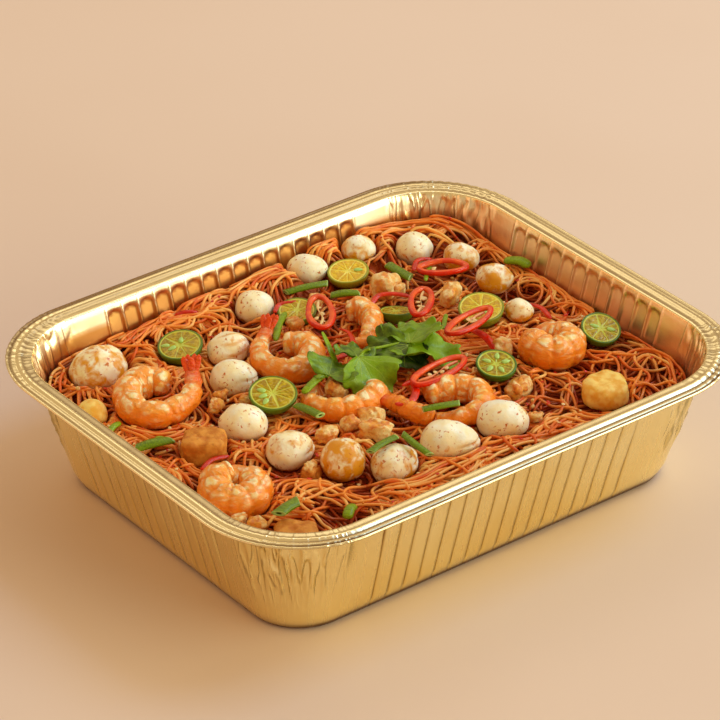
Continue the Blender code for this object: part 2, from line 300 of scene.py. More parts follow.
def polar(angle: Array | float, reach: Array | float = 1.0, *rest: Array | float) -> Array:
    """Points at a bearing and a distance from the middle, with any further numbers after these two."""
    return together(reach * np.cos(angle), reach * np.sin(angle), *rest)


def circle(columns: int, power: float = 2.0) -> Array:
    """A profile of radius 1, columns by 2: round at a power of 2, and squarer above it."""
    ring = polar(bearings(columns))
    return ring if power == 2 else ring * (np.abs(ring) ** power).sum(1, keepdims=True) ** (-1 / power)


def turned(angle: float, tilts: Point, lean: float) -> Array:
    """Three directions as rows: the level two turned by an angle, each with its tilt, and the upright."""
    ahead, left = polar(angle), polar(angle + TURN / 4)
    return np.column_stack([np.stack([ahead, left, [-lean, lean]]), tilts])


def toward(bearing: float, elevation: float) -> Array:
    """The direction at a bearing and a height, both in degrees."""
    level = np.cos(np.radians(elevation))
    return polar(np.radians(bearing), level, np.sin(np.radians(elevation)))


@dataclass(frozen=True)
class Place:
    """Where a CAD node lies: its middle, its own three directions as rows, and its half sizes."""

    centre: Array
    axes: Array
    half: Array

    @classmethod
    def of(cls, node: str, flat: bool = False) -> "Place":
        """Read the place of a CAD node from its mesh.

        The directions are those in which its points spread most and least. The third points up: it is
        the steepest of them, or for a flat piece the one in which the points spread least.

        Args:
            node: Name of the CAD node.
            flat: Whether the third direction is the thinnest one.

        Returns:
            The place, in millimetres.
        """
        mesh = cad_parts[node].data
        points = np.zeros(len(mesh.vertices) * 3)
        mesh.vertices.foreach_get("co", points)
        points = np.unique(np.round(points.reshape(-1, 3) / MM, 3), axis=0)
        spread, ways = np.linalg.eigh(np.cov(points.T))
        ways = ways.T[::-1]
        up = 2 if flat else int(np.argmax(np.abs(ways[:, 2])))
        rise = ways[up] * (1 if ways[up][2] > 0 else -1)
        long = ways[0 if up != 0 else 1]
        long = long * (1 if long[0] > 0 else -1)
        axes = np.stack([long, np.cross(rise, long), rise])
        reach = points @ axes.T
        low, high = reach.min(0), reach.max(0)
        return cls((low + high) / 2 @ axes, axes, (high - low) / 2)


# --- Shader building ---------------------------------------------------


def screen(red: float, green: float, blue: float) -> Colour:
    """Turn a colour as a screen shows it, 0 to 255, into the light that a shader works with.

    Args:
        red: Red, as an 8-bit screen value.
        green: Green.
        blue: Blue.

    Returns:
        The colour in linear light, 0 to 1.
    """
    part = np.array([red, green, blue]) / 255
    linear = np.where(part <= 0.04045, part / 12.92, ((part + 0.055) / 1.055) ** 2.4)
    return tuple(float(value) for value in linear)


class Graph:
    """Adds nodes to one shader tree and links them. Vectors are in millimetres."""

    def __init__(self, tree: bpy.types.NodeTree) -> None:
        """Work on a tree."""
        self.tree = tree

    def node(self, kind: str, values: dict | None = None, **settings: object) -> bpy.types.Node:
        """Add a node.

        Args:
            kind: The node's type, without ShaderNode.
            values: For a socket's name or number, the number, colour or output that feeds it.
            settings: The node's own settings.

        Returns:
            The node.
        """
        made = self.tree.nodes.new("ShaderNode" + kind)
        for name, setting in settings.items():
            setattr(made, name, setting)
        for name, value in (values or {}).items():
            self.feed(made.inputs[name], value)
        return made

    def feed(self, socket: Socket, value: object) -> None:
        """Link an output to a socket, or set the socket's number or colour.

        Args:
            socket: The socket.
            value: What it takes.
        """
        if isinstance(value, Socket):
            self.tree.links.new(value, socket)
        elif isinstance(value, tuple) and socket.type == "RGBA":
            socket.default_value = (*value[:3], 1.0)
        else:
            socket.default_value = value

    def place(self) -> Socket:
        """Object coordinates in millimetres."""
        source = self.node("TexCoord").outputs["Object"]
        return self.node("VectorMath", {0: source, 1: (1 / MM,) * 3}, operation="MULTIPLY").outputs[0]

    def value(self, name: str) -> Socket:
        """A mesh's own value of this name."""
        return self.node("Attribute", attribute_name=name).outputs["Fac"]

    def vector(self, name: str, stretch: Point = (1, 1, 1)) -> Socket:
        """A mesh's own vector of this name, stretched.

        Args:
            name: Name of the mesh's attribute.
            stretch: How far its pattern is drawn out along each axis.

        Returns:
            The vector.
        """
        source = self.node("Attribute", attribute_name=name).outputs["Vector"]
        scale = tuple(1 / part for part in stretch)
        return self.node("VectorMath", {0: source, 1: scale}, operation="MULTIPLY").outputs[0]

    def noise(self, vector: object, size: object, detail: float = 3, warp: float = 0) -> Socket:
        """Cloudy noise from 0 to 1 with lumps of about the given size in millimetres.

        Args:
            vector: Where to read it.
            size: Millimetres from lump to lump.
            detail: Finer layers added.
            warp: How far the lumps are bent.

        Returns:
            The noise, 0 to 1.
        """
        scale = self.math("DIVIDE", 1.0, size)
        inputs = {"Vector": vector, "Scale": scale, "Detail": detail, "Distortion": warp}
        return self.node("TexNoise", inputs).outputs["Fac"]

    def math(self, operation: str, first: object, second: object = 0.0) -> Socket:
        """One sum on two numbers."""
        return self.node("Math", {0: first, 1: second}, operation=operation).outputs[0]

    def times(self, first: object, second: object) -> Socket:
        """The product of two numbers."""
        return self.math("MULTIPLY", first, second)

    def plus(self, first: object, second: object) -> Socket:
        """The sum of two numbers."""
        return self.math("ADD", first, second)

    def ramp(self, value: object, low: object, high: object, start: float = 0, end: float = 1) -> Socket:
        """Rise smoothly from start at low to end at high."""
        inputs = {"Value": value, "From Min": low, "From Max": high, "To Min": start, "To Max": end}
        return self.node("MapRange", inputs, interpolation_type="SMOOTHSTEP").outputs[0]

    def mix(self, share: object, first: object, second: object) -> Socket:
        """Mix two colours."""
        return self.node("Mix", {0: share, 6: first, 7: second}, data_type="RGBA").outputs[2]

    def bump(self, height: object, depth: float, normal: object = None) -> Socket:
        """Turn a height from 0 to 1 into relief of a depth in millimetres.

        Args:
            height: The height, 0 to 1.
            depth: What 1 stands for, in millimetres.
            normal: A normal to add it to, if any.

        Returns:
            The normal.
        """
        inputs = {"Height": height, "Distance": depth * MM}
        if normal is not None:
            inputs["Normal"] = normal
        return self.node("Bump", inputs).outputs[0]


@dataclass(frozen=True)
class Effect:
    """A look that several materials share: shader nodes, built once as a group and placed by name."""

    name: str
    inputs: dict[str, str]
    outputs: dict[str, str]
    build: Callable[[Graph, dict], dict]

    def group(self) -> bpy.types.NodeTree:
        """Return the group of nodes, and build it the first time.

        Returns:
            The group.
        """
        if self.name in bpy.data.node_groups:
            return bpy.data.node_groups[self.name]
        group = bpy.data.node_groups.new(self.name, "ShaderNodeTree")
        for direction, sockets in (("INPUT", self.inputs), ("OUTPUT", self.outputs)):
            for socket, kind in sockets.items():
                group.interface.new_socket(name=socket, in_out=direction, socket_type="NodeSocket" + kind)
        entry, leave = group.nodes.new("NodeGroupInput"), group.nodes.new("NodeGroupOutput")
        made = self.build(Graph(group), {socket: entry.outputs[socket] for socket in self.inputs})
        for socket, source in made.items():
            group.links.new(source, leave.inputs[socket])
        return group

    def place(self, graph: Graph, *values: object) -> bpy.types.bpy_prop_collection:
        """Place the group in a material with its inputs' values in order, and return its outputs."""
        return graph.node("Group", dict(zip(self.inputs, values)), node_tree=self.group()).outputs


def blotches_nodes(graph: Graph, given: dict) -> dict:
    """Soft-edged blotches over a share of the surface: noise, cut at a level that the share sets.

    Args:
        graph: The group's graph.
        given: The group's inputs by name.

    Returns:
        What feeds each output.
    """
    noise = graph.noise(given["Vector"], given["Size"], 4.0, 0.4)
    level = graph.ramp(given["Share"], 0.0, 1.0, 0.76, 0.24)
    return {"Mask": graph.ramp(noise, level, graph.plus(level, given["Softness"]))}


def sauce_nodes(graph: Graph, given: dict) -> dict:
    """A film of chilli oil: wide stains and fine specks, both growing with the amount of sauce.

    Args:
        graph: The group's graph.
        given: The group's inputs by name.

    Returns:
        What feeds each output.
    """
    place, sauce = given["Vector"], given["Sauce"]
    wide = BLOTCHES.place(graph, place, 6.5, sauce, 0.10)["Mask"]
    fine = BLOTCHES.place(graph, place, 1.5, graph.times(sauce, 0.75), 0.10)["Mask"]
    both = graph.math("MAXIMUM", wide, graph.times(fine, 0.7))
    tint = graph.mix(graph.ramp(graph.noise(place, 2.4, 3.0), 0.35, 0.65), OIL, CHILLI_OIL)
    return {"Color": graph.mix(graph.times(both, 0.8), given["Color"], tint), "Wet": both}


def relief_nodes(graph: Graph, given: dict) -> dict:
    """Fine uneven relief at two sizes, the smaller one a third of the larger.

    Args:
        graph: The group's graph.
        given: The group's inputs by name.

    Returns:
        What feeds each output.
    """
    coarse = graph.noise(given["Vector"], given["Size"], 2.0)
    fine = graph.noise(given["Vector"], graph.math("DIVIDE", given["Size"], 3.0), 3.0)
    height = graph.plus(graph.times(coarse, 0.65), graph.times(fine, 0.35))
    depth = graph.times(given["Depth"], MM)
    return {"Normal": graph.node("Bump", {"Height": height, "Distance": depth}).outputs[0]}


OIL, CHILLI_OIL = screen(242, 160, 40), screen(214, 100, 12)
BLOTCHES = Effect(
    "blotches",
    {"Vector": "Vector", "Size": "Float", "Share": "Float", "Softness": "Float"},
    {"Mask": "Float"},
    blotches_nodes,
)
SAUCE = Effect(
    "sauce_film",
    {"Color": "Color", "Vector": "Vector", "Sauce": "Float"},
    {"Color": "Color", "Wet": "Float"},
    sauce_nodes,
)
RELIEF = Effect(
    "fine_relief", {"Vector": "Vector", "Size": "Float", "Depth": "Float"}, {"Normal": "Vector"}, relief_nodes
)


class Coat(Graph):
    """A material on one Principled BSDF, and the graph of the nodes that feed it."""

    def __init__(self, name: str, **sockets: object) -> None:
        """Start the material by its name, with numbers and colours of the shader's own sockets.

        Args:
            name: The material's name.
            sockets: The values, with _ for a space in their names.
        """
        self.material = bpy.data.materials.new(name)
        self.material.use_nodes = True
        super().__init__(self.material.node_tree)
        self.shader = next(node for node in self.tree.nodes if node.type == "BSDF_PRINCIPLED")
        self.put(**sockets)

    def put(self, **sockets: object) -> Material:
        """Feed the shader's sockets, with _ for a space in their names, and return the material.

        Args:
            sockets: The outputs, numbers and colours that feed them.

        Returns:
            The material.
        """
        for socket, value in sockets.items():
            self.feed(self.shader.inputs[socket.replace("_", " ")], value)
        return self.material


def moist(name: str, ior: float, inside: float, radius: Point, scale: float, **sockets: object) -> Coat:
    """Start the material of a moist food, with a warm sheen and light that passes into it.

    Args:
        name: The material's name.
        ior: Index of refraction of its surface.
        inside: How much of the light passes in.
        radius: How far red, green and blue go, as shares of the scale.
        scale: How far light goes, in millimetres.
        sockets: Other sockets of the shader.

    Returns:
        The material and its graph.
    """
    under = {"Subsurface_Weight": inside, "Subsurface_Radius": radius, "Subsurface_Scale": scale * MM}
    return Coat(name, **{"IOR": ior, "Specular_Tint": WARM, **under, **sockets})


# --- Finishes ----------------------------------------------------------


@dataclass(frozen=True)
class GoldFoil:
    """Gold-lacquered aluminium foil: bright metal drawn in faint upright streaks, with shade painted into its
    creases.

    The mesh's "foil" vector is the distance along the wall, the distance up it, and 0. Its "crinkle"
    value is 1 where the foil is gathered in folds, "crease" is 1 at the bottom of a crease between
    flutes and along the foot, where shade is painted, "rim" is 1 on the flange and "line" is how dark
    the painted shade, dark reflections and contact shadow of its bands are. Crease shading is how dark the
    painted crease shade is, food reflection how far a painted reflection of the orange food beside it
    covers the wall below its "warm" value's edge, gathers how deep the folds are, dull its roughness,
    and polish what the rim keeps of it.
    """

    name: str = "gold_foil"
    face: Colour = screen(252, 238, 180)
    deep: Colour = screen(248, 228, 160)
    pale: Colour = screen(250, 232, 176)
    # Painted colours: shade in the creases and at the foot, shade and dark reflections in the rim's bands,
    # and the reflected food.
    crease_shade: Colour = screen(146, 104, 50)
    band_shade: Colour = screen(112, 70, 24)
    reflected_amber: Colour = screen(214, 148, 60)
    crease_shading: float = 1.0
    food_reflection: float = 0.0
    gathers: float = 1.0
    dull: float = 0.28
    polish: float = 0.74

    def material(self) -> Material:
        """Build the material.

        Returns:
            The material.
        """
        graph = Coat(self.name, Metallic=1.0)
        streaks = graph.noise(graph.vector("foil", (4.0, 90.0, 1.0)), 1.0, 1.0)
        patches = graph.plus(graph.noise(graph.place(), 34.0, 2.0), graph.times(streaks, 0.2))
        gold = graph.mix(graph.ramp(patches, 0.3, 0.85), self.face, self.deep)
        gold = graph.mix(graph.value("rim"), gold, self.pale)
        # Painted shade: darker in the creases between flutes and along the foot.
        creases = graph.times(graph.value("crease"), self.crease_shading)
        gold = graph.mix(graph.ramp(creases, 0.1, 0.95), gold, self.crease_shade)
        # Painted reflection of the orange food on the wall below the arch tops.
        gold = graph.mix(graph.times(graph.value("warm"), self.food_reflection), gold, self.reflected_amber)
        dull = graph.ramp(streaks, 0.3, 0.7, self.dull - 0.02, self.dull + 0.02)
        polish = graph.ramp(graph.value("rim"), 0.0, 1.0, 1.0, self.polish)
        dents = graph.bump(graph.noise(graph.place(), 18.0, 1.0), 0.40)
        folds = graph.noise(graph.vector("foil", (1.0, 7.0, 1.0)), 5.0, 1.0, 0.5)
        ridges = graph.ramp(graph.math("ABSOLUTE", graph.math("SUBTRACT", folds, 0.5)), 0.0, 0.09, 1.0, 0.0)
        gathered = graph.times(ridges, graph.value("crinkle"))
        return graph.put(
            # The rim's dark bands and the line along the foot are painted shade, dark reflections and contact
            # shadow.
            Base_Color=graph.mix(graph.value("line"), gold, self.band_shade),
            Roughness=graph.times(dull, polish),
            Normal=graph.bump(gathered, 0.9 * self.gathers, dents),
        )


@dataclass(frozen=True)
class Noodles:
    """Rice noodles stained by chilli paste and shiny with oil.

    The mesh's "tint" is drawn for each strand, and its depth value is 1 where a strand lies deep below the
    heap's top, which is painted darker and redder: partly pooled sauce, mostly painted shade.
    """

    name: str = "noodles"
    light: Colour = screen(255, 198, 106)
    mid: Colour = screen(252, 150, 54)
    dark: Colour = screen(226, 94, 20)
    paste: Colour = screen(196, 70, 14)
    # Painted shade deep in the heap, in a dark sauce red.
    sunk: Colour = screen(162, 42, 8)

    def material(self) -> Material:
        """Build the material.

        Returns:
            The material.
        """
        graph = Coat(self.name, Coat_Weight=0.08, Coat_Roughness=0.14, IOR=1.50, Specular_Tint=WARM)
        place = graph.place()
        drift = graph.noise(place, 9.0, 3.0)
        tone = graph.plus(graph.value("tint"), graph.times(drift, 0.9))
        body = graph.mix(graph.ramp(tone, 0.35, 0.95), self.light, self.mid)
        body = graph.mix(graph.ramp(tone, 0.95, 1.5), body, self.dark)
        paste = BLOTCHES.place(graph, place, 2.2, 0.28, 0.12)["Mask"]
        body = graph.mix(graph.times(paste, 0.5), body, self.paste)
        return graph.put(
            # Deep strands: partly pooled sauce, mostly painted shade.
            Base_Color=graph.mix(graph.times(graph.value("sunk"), 0.80), body, self.sunk),
            Roughness=graph.ramp(drift, 0.3, 0.7, 0.30, 0.46),
            Normal=RELIEF.place(graph, place, 1.2, 0.10)["Normal"],
        )


@dataclass(frozen=True)
class Food:
    """A moist cooked surface: two flesh colours in blotches, browned patches, a film of sauce, relief.

    The mesh's "sauce" value, 0 to 1, sets how much of it the film covers, and its "brown" value adds to
    the browning.
    """

    name: str
    pale: Colour
    deep: Colour
    brown: Colour
    blotch: float
    browned: float
    relief: tuple[float, float]
    roughness: tuple[float, float] = (0.30, 0.48)
    inside: float = 0.12

    def material(self) -> Material:
        """Build the material.

        Returns:
            The material.
        """
        graph = moist(self.name, 1.44, self.inside, (1.0, 0.5, 0.25), 2.0)
        place = graph.place()
        cloud = graph.ramp(graph.noise(place, self.blotch, 3.0), 0.36, 0.64)
        body = graph.mix(cloud, self.pale, self.deep)
        share = graph.plus(graph.value("brown"), self.browned)
        baked = BLOTCHES.place(graph, place, self.blotch * 0.5, share, 0.22)["Mask"]
        body = graph.mix(graph.times(baked, 0.85), body, self.brown)
        film = SAUCE.place(graph, body, place, graph.value("sauce"))
        shiny, dull = self.roughness
        return graph.put(
            Base_Color=film["Color"],
            Roughness=graph.ramp(film["Wet"], 0.0, 1.0, dull, shiny),
            Normal=RELIEF.place(graph, place, *self.relief)["Normal"],
        )


@dataclass(frozen=True)
class EggWhite:
    """Boiled quail egg: creamy white, freckled with fine tan specks and smeared with golden sauce.

    The mesh's "sauce" value, 0 to 1, sets how far the sauce spreads, and its "brown" value is 1 on a
    tan stripe.
    """

    name: str = "egg_white"
    white: Colour = screen(255, 249, 212)
    cream: Colour = screen(255, 236, 176)
    golden: Colour = screen(230, 154, 6)
    freckle: Colour = screen(204, 110, 4)

    def material(self) -> Material:
        """Build the material.

        Returns:
            The material.
        """
        sheen = {"Specular_Tint": (1.0, 1.0, 1.0), "Coat_Weight": 0.2, "Coat_Roughness": 0.14}
        graph = moist(self.name, 1.44, 0.1, (1.0, 0.7, 0.4), 1.2, **sheen)
        place, sauce = graph.place(), graph.value("sauce")
        body = graph.mix(graph.ramp(graph.noise(place, 7.0, 3.0), 0.36, 0.64), self.white, self.cream)
        share = graph.plus(graph.times(sauce, 0.92), 0.08)
        veil = BLOTCHES.place(graph, place, 5.0, share, 0.26)["Mask"]
        body = graph.mix(graph.math("MAXIMUM", veil, graph.value("brown")), body, self.golden)
        specks = BLOTCHES.place(graph, place, 1.8, 0.40, 0.10)["Mask"]
        where = graph.ramp(graph.noise(place, 6.0, 2.0), 0.40, 0.58)
        body = graph.mix(graph.times(specks, where), body, self.freckle)
        film = SAUCE.place(graph, body, place, graph.times(sauce, 0.25))
        return graph.put(
            Base_Color=film["Color"],
            Roughness=graph.ramp(film["Wet"], 0.0, 1.0, 0.44, 0.28),
            Normal=RELIEF.place(graph, place, 3.0, 0.30)["Normal"],
        )


@dataclass(frozen=True)
class PrawnFlesh:
    """Cooked prawn: pale pillows of flesh between orange lines, an orange back and a red tail.

    The mesh's "band" value, 0 to 1, is where the orange lies, "tail" is 1 on the tail, "sauce" sets the
    film, and "body" is the place along and around the prawn as if it were straight.
    """

    name: str = "prawn_flesh"
    pale: Colour = screen(255, 238, 182)
    peach: Colour = screen(254, 202, 104)
    seam: Colour = screen(250, 148, 30)
    orange: Colour = screen(246, 130, 14)
    red: Colour = screen(226, 60, 6)
    pillow: float = 6.8
    sway: float = 5.0

    def material(self) -> Material:
        """Build the material.

        Returns:
            The material.
        """
        graph = moist(self.name, 1.46, 0.22, (1.0, 0.4, 0.2), 2.0, Coat_Weight=0.12, Coat_Roughness=0.18)
        body = graph.vector("body")
        cloud = graph.ramp(graph.noise(body, 4.0, 3.0), 0.40, 0.66)
        flesh = graph.mix(cloud, self.pale, self.peach)
        shake = graph.node("TexNoise", {"Vector": body, "Scale": 0.3, "Detail": 3.0}).outputs["Color"]
        bent = graph.node("VectorMath", {0: shake, 1: (self.sway,) * 3}, operation="MULTIPLY").outputs[0]
        bent = graph.node("VectorMath", {0: body, 1: bent}, operation="ADD").outputs[0]
        net = graph.node("TexVoronoi", {"Vector": bent, "Scale": 1 / self.pillow}, feature="DISTANCE_TO_EDGE")
        pillows = graph.ramp(net.outputs["Distance"], 0.0, 0.32)
        seams = graph.ramp(graph.math("SUBTRACT", 1.0, pillows), 0.05, 1.0, 0.0, 0.88)
        flesh = graph.mix(seams, flesh, self.seam)
        wander = graph.math("SUBTRACT", graph.noise(body, 2.6, 4.0, 0.5), 0.5)
        band = graph.plus(graph.value("band"), graph.times(wander, 1.5))
        flesh = graph.mix(graph.ramp(band, 0.12, 0.95, 0.0, 0.94), flesh, self.orange)
        streaks = graph.noise(graph.vector("body", (0.5, 0.5, 7.0)), 1.0, 3.0)
        tail = graph.times(graph.value("tail"), graph.ramp(streaks, 0.25, 0.6, 0.55, 1.0))
        flesh = graph.mix(tail, flesh, self.red)
        fibres = graph.noise(graph.vector("body", (1.0, 1.0, 0.45)), 1.6, 4.0)
        return graph.put(
            Base_Color=SAUCE.place(graph, flesh, graph.place(), graph.value("sauce"))["Color"],
            Roughness=graph.ramp(cloud, 0.0, 1.0, 0.28, 0.42),
            Normal=graph.bump(pillows, 0.45, graph.bump(fibres, 0.16)),
        )


@dataclass(frozen=True)
class CitrusFruit:
    """A small green citrus half: pored green rind, pale membranes, juicy flesh and pale seeds.

    The mesh's "rind", "pith" and "seed" values say which part a point is, "ripe" goes from green
    flesh at 0 to yellow at 1, and "ray" runs out from the middle of the cut face. Each field holds the
    unripe colours or colour and then the ripe, and the rind its skin, its pores and its ripe colour.
    """

    name: str = "citrus_fruit"
    unripe: tuple[Colour, Colour] = (screen(188, 162, 14), screen(146, 120, 4))
    yellow: tuple[Colour, Colour] = (screen(246, 208, 30), screen(222, 168, 8))
    membrane: tuple[Colour, Colour] = (screen(196, 206, 70), screen(250, 232, 96))
    rind: tuple[Colour, Colour, Colour] = (screen(66, 110, 22), screen(96, 138, 34), screen(188, 178, 40))
    seed: Colour = screen(176, 214, 108)

    def material(self) -> Material:
        """Build the material.

        Returns:
            The material.
        """
        graph = moist(self.name, 1.44, 0.15, (0.8, 1.0, 0.3), 1.5, Coat_Weight=0.15, Coat_Roughness=0.12)
        ripe, rind = graph.value("ripe"), graph.value("rind")
        cells = graph.noise(graph.vector("ray", (0.9, 0.9, 1.0)), 1.0, 3.0)
        grain = graph.ramp(cells, 0.35, 0.65)
        flesh = graph.mix(ripe, graph.mix(grain, *self.unripe), graph.mix(grain, *self.yellow))
        cut = graph.mix(graph.ramp(graph.value("pith"), 0.25, 0.85), flesh, graph.mix(ripe, *self.membrane))
        pores = BLOTCHES.place(graph, graph.place(), 1.0, 0.4, 0.15)["Mask"]
        skin = graph.mix(graph.times(ripe, 0.7), graph.mix(pores, *self.rind[:2]), self.rind[2])
        body = graph.mix(graph.ramp(rind, 0.35, 0.75), cut, skin)
        return graph.put(
            Base_Color=graph.mix(graph.ramp(graph.value("seed"), 0.3, 0.7), body, self.seed),
            Roughness=graph.ramp(rind, 0.2, 0.8, 0.22, 0.40),
            Normal=graph.bump(cells, 0.15, graph.bump(pores, -0.06)),
        )


@dataclass(frozen=True)
class ChilliSkin:
    """Fresh red chilli: shiny skin, paler flesh inside; "skin" is 1 outside, "pale" 1 on seeds and core."""

    name: str = "red_chilli"
    skin: Colour = screen(226, 38, 4)
    dark: Colour = screen(196, 14, 2)
    flesh: Colour = screen(240, 96, 34)
    inner: Colour = screen(220, 60, 28)
    core: Colour = screen(240, 206, 134)

    def material(self) -> Material:
        """Build the material.

        Returns:
            The material.
        """
        graph = moist(self.name, 1.50, 0.05, (1.0, 0.2, 0.1), 1.0, Coat_Weight=0.14, Coat_Roughness=0.1)
        place = graph.place()
        cloud = graph.ramp(graph.noise(place, 4.0, 3.0), 0.35, 0.65)
        outside, inside = graph.mix(cloud, self.skin, self.dark), graph.mix(cloud, self.flesh, self.inner)
        body = graph.mix(graph.ramp(graph.value("skin"), 0.35, 0.65), inside, outside)
        return graph.put(
            Base_Color=graph.mix(graph.ramp(graph.value("pale"), 0.3, 0.7), body, self.core),
            Roughness=graph.ramp(cloud, 0.0, 1.0, 0.22, 0.34),
            Normal=RELIEF.place(graph, place, 1.3, 0.10)["Normal"],
        )


@dataclass(frozen=True)
class GreenStalk:
    """Spring onion and herb stems: long streaks of green, paler where it is cut.

    The mesh's "stalk" vector is the place on the stalk as if it were straight, "cut" is 1 at its ends,
    and "tone" goes from bright at 0 to dark at 1.
    """

    name: str = "green_stalk"
    bright: Colour = screen(150, 182, 10)
    deep: Colour = screen(60, 88, 2)
    inside: Colour = screen(188, 216, 120)

    def material(self) -> Material:
        """Build the material.

        Returns:
            The material.
        """
        graph = Coat(self.name, IOR=1.45, Coat_Weight=0.06, Coat_Roughness=0.2, Specular_Tint=WARM)
        streaks = graph.noise(graph.vector("stalk", (0.55, 0.55, 9.0)), 1.0, 3.0)
        tone = graph.plus(graph.value("tone"), graph.math("SUBTRACT", streaks, 0.5))
        body = graph.mix(graph.ramp(tone, 0.0, 1.0), self.bright, self.deep)
        return graph.put(
            Base_Color=graph.mix(graph.ramp(graph.value("cut"), 0.4, 0.9, 0.0, 0.7), body, self.inside),
            Roughness=graph.ramp(streaks, 0.3, 0.7, 0.28, 0.42),
            Normal=graph.bump(streaks, 0.12),
        )


@dataclass(frozen=True)
class HerbLeaf:
    """A fresh herb leaf: bright green blade with paler veins; "vein" is 1 on a vein, "tone" darkens it."""

    name: str = "herb_leaf"
    bright: Colour = screen(122, 158, 8)
    deep: Colour = screen(34, 62, 2)
    vein: Colour = screen(168, 190, 60)

    def material(self) -> Material:
        """Build the material.

        Returns:
            The material.
        """
        graph = Coat(self.name, IOR=1.45, Coat_Weight=0.14, Coat_Roughness=0.22, Specular_Tint=WARM)
        place, vein = graph.place(), graph.value("vein")
        cloud = graph.noise(place, 5.0, 4.0)
        drift = graph.times(graph.math("SUBTRACT", cloud, 0.5), 1.6)
        body = graph.mix(graph.ramp(graph.plus(graph.value("tone"), drift), 0.0, 1.0), self.bright, self.deep)
        return graph.put(
            Base_Color=graph.mix(graph.ramp(vein, 0.25, 0.90, 0.0, 0.8), body, self.vein),
            Roughness=graph.ramp(cloud, 0.3, 0.7, 0.36, 0.52),
            Normal=graph.bump(vein, 0.12, graph.bump(graph.noise(place, 1.2, 3.0), 0.30)),
        )


@dataclass(frozen=True)
class Tabletop:
    """The plain peach surface that the tray stands on."""

    name: str = "peach_tabletop"
    light: Colour = screen(231, 205, 176)
    shade: Colour = screen(229, 202, 172)

    def material(self) -> Material:
        """Build the material.

        Returns:
            The material.
        """
        graph = Coat(self.name, Roughness=0.75)
        cloud = graph.ramp(graph.noise(graph.place(), 260.0, 2.0), 0.3, 0.7)
        return graph.put(Base_Color=graph.mix(cloud, self.light, self.shade))


FRIED_TOFU = Food(
    *("fried_tofu", screen(226, 150, 56), screen(200, 116, 34), screen(140, 66, 16)),
    *(5.0, 0.30, (1.4, 0.45), (0.38, 0.60)),
)
TOFU_CRUMB = Food(
    *("tofu_dice", screen(248, 220, 150), screen(234, 180, 96), screen(204, 118, 36)),
    *(4.0, 0.25, (1.0, 0.30), (0.38, 0.62)),
)
FISH_PASTE = Food(
    *("fish_paste", screen(252, 214, 112), screen(240, 176, 62), screen(208, 132, 50)),
    *(4.5, 0.22, (1.5, 0.14)),
)
# The bed under the strands is dark sauce red: partly its sauce, partly painted shade in the gaps between
# strands.
SHADED_NOODLE_BED = Food(
    *("sauced_noodle_bed", screen(198, 88, 26), screen(164, 56, 12), screen(128, 34, 4)),
    *(4.0, 0.3, (2.2, 0.8), (0.40, 0.60), 0.0),
)


def add_piece(
    name: str, shape: Shape, finish: Material, slot: Slot, *nodes: str
) -> bpy.types.Object:
    """Put a shape into the scene as a finished piece on the one body.

    Args:
        name: The piece's name.
        shape: Its surface, in millimetres.
        finish: Its material.
        slot: The record's slot that the finish belongs to; not used.
        nodes: The CAD nodes that it stands for.

    Returns:
        The object.
    """
    mesh = bpy.data.meshes.new(name)
    corners = np.concatenate([shape.quads.ravel(), shape.tris.ravel()])
    sizes = np.concatenate([np.full(len(shape.quads), 4), np.full(len(shape.tris), 3)])
    mesh.vertices.add(len(shape.points))
    mesh.vertices.foreach_set("co", (shape.points * MM).ravel())
    mesh.loops.add(len(corners))
    mesh.loops.foreach_set("vertex_index", corners)
    mesh.polygons.add(len(sizes))
    mesh.polygons.foreach_set("loop_start", np.cumsum(sizes) - sizes)
    mesh.update(calc_edges=True)
    mesh.shade_smooth()
    for key, value in shape.values.items():
        kind, entry = ("FLOAT", "value") if value.ndim == 1 else ("FLOAT_VECTOR", "vector")
        mesh.attributes.new(key, kind, "POINT").data.foreach_set(entry, value.ravel())
    mesh.materials.append(finish)
    piece = bpy.data.objects.new(name, mesh)
    bpy.context.scene.collection.objects.link(piece)
    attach(piece, "root")
    if nodes:
        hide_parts(*nodes)
    log.info("%s: %d points, %d faces", name, len(shape.points), len(sizes))
    return piece


def thicken(piece: bpy.types.Object, name: str, thickness: float) -> bpy.types.Modifier:
    """Give a sheet a thickness in millimetres, behind its face.

    Args:
        piece: The sheet.
        name: The modifier's name.
        thickness: The thickness.

    Returns:
        The modifier.
    """
    wall = piece.modifiers.new(name, "SOLIDIFY")
    wall.thickness = thickness * MM
    wall.offset = -1
    return wall


# --- The tray ----------------------------------------------------------


@dataclass
class Stations:
    """The places round the tray at which its section is worked out, one entry each.

    A point of an outline is core times its straight half sizes, plus normal times its corner radius.
    """

    core: Array
    normal: Array
    crease: Array
    arch: Array
    gather: Array
    groove: Array
    plain: Array

    def ring(self, size: Array, out: Array | float, lift: Array | float) -> Array:
        """Points of a rounded rectangle, each at its own height.

        Args:
            size: Half length, half width and corner radius.
            out: Distance that each point is moved outwards.
            lift: Height of each point.

        Returns:
            The points, n by 3.
        """
        half_length, half_width, corner = (part + out for part in size)
        straight = together(half_length - corner, half_width - corner)
        flat = self.core * straight + self.normal * np.reshape(corner, (-1, 1))
        return np.column_stack([flat, np.broadcast_to(lift, len(flat))])


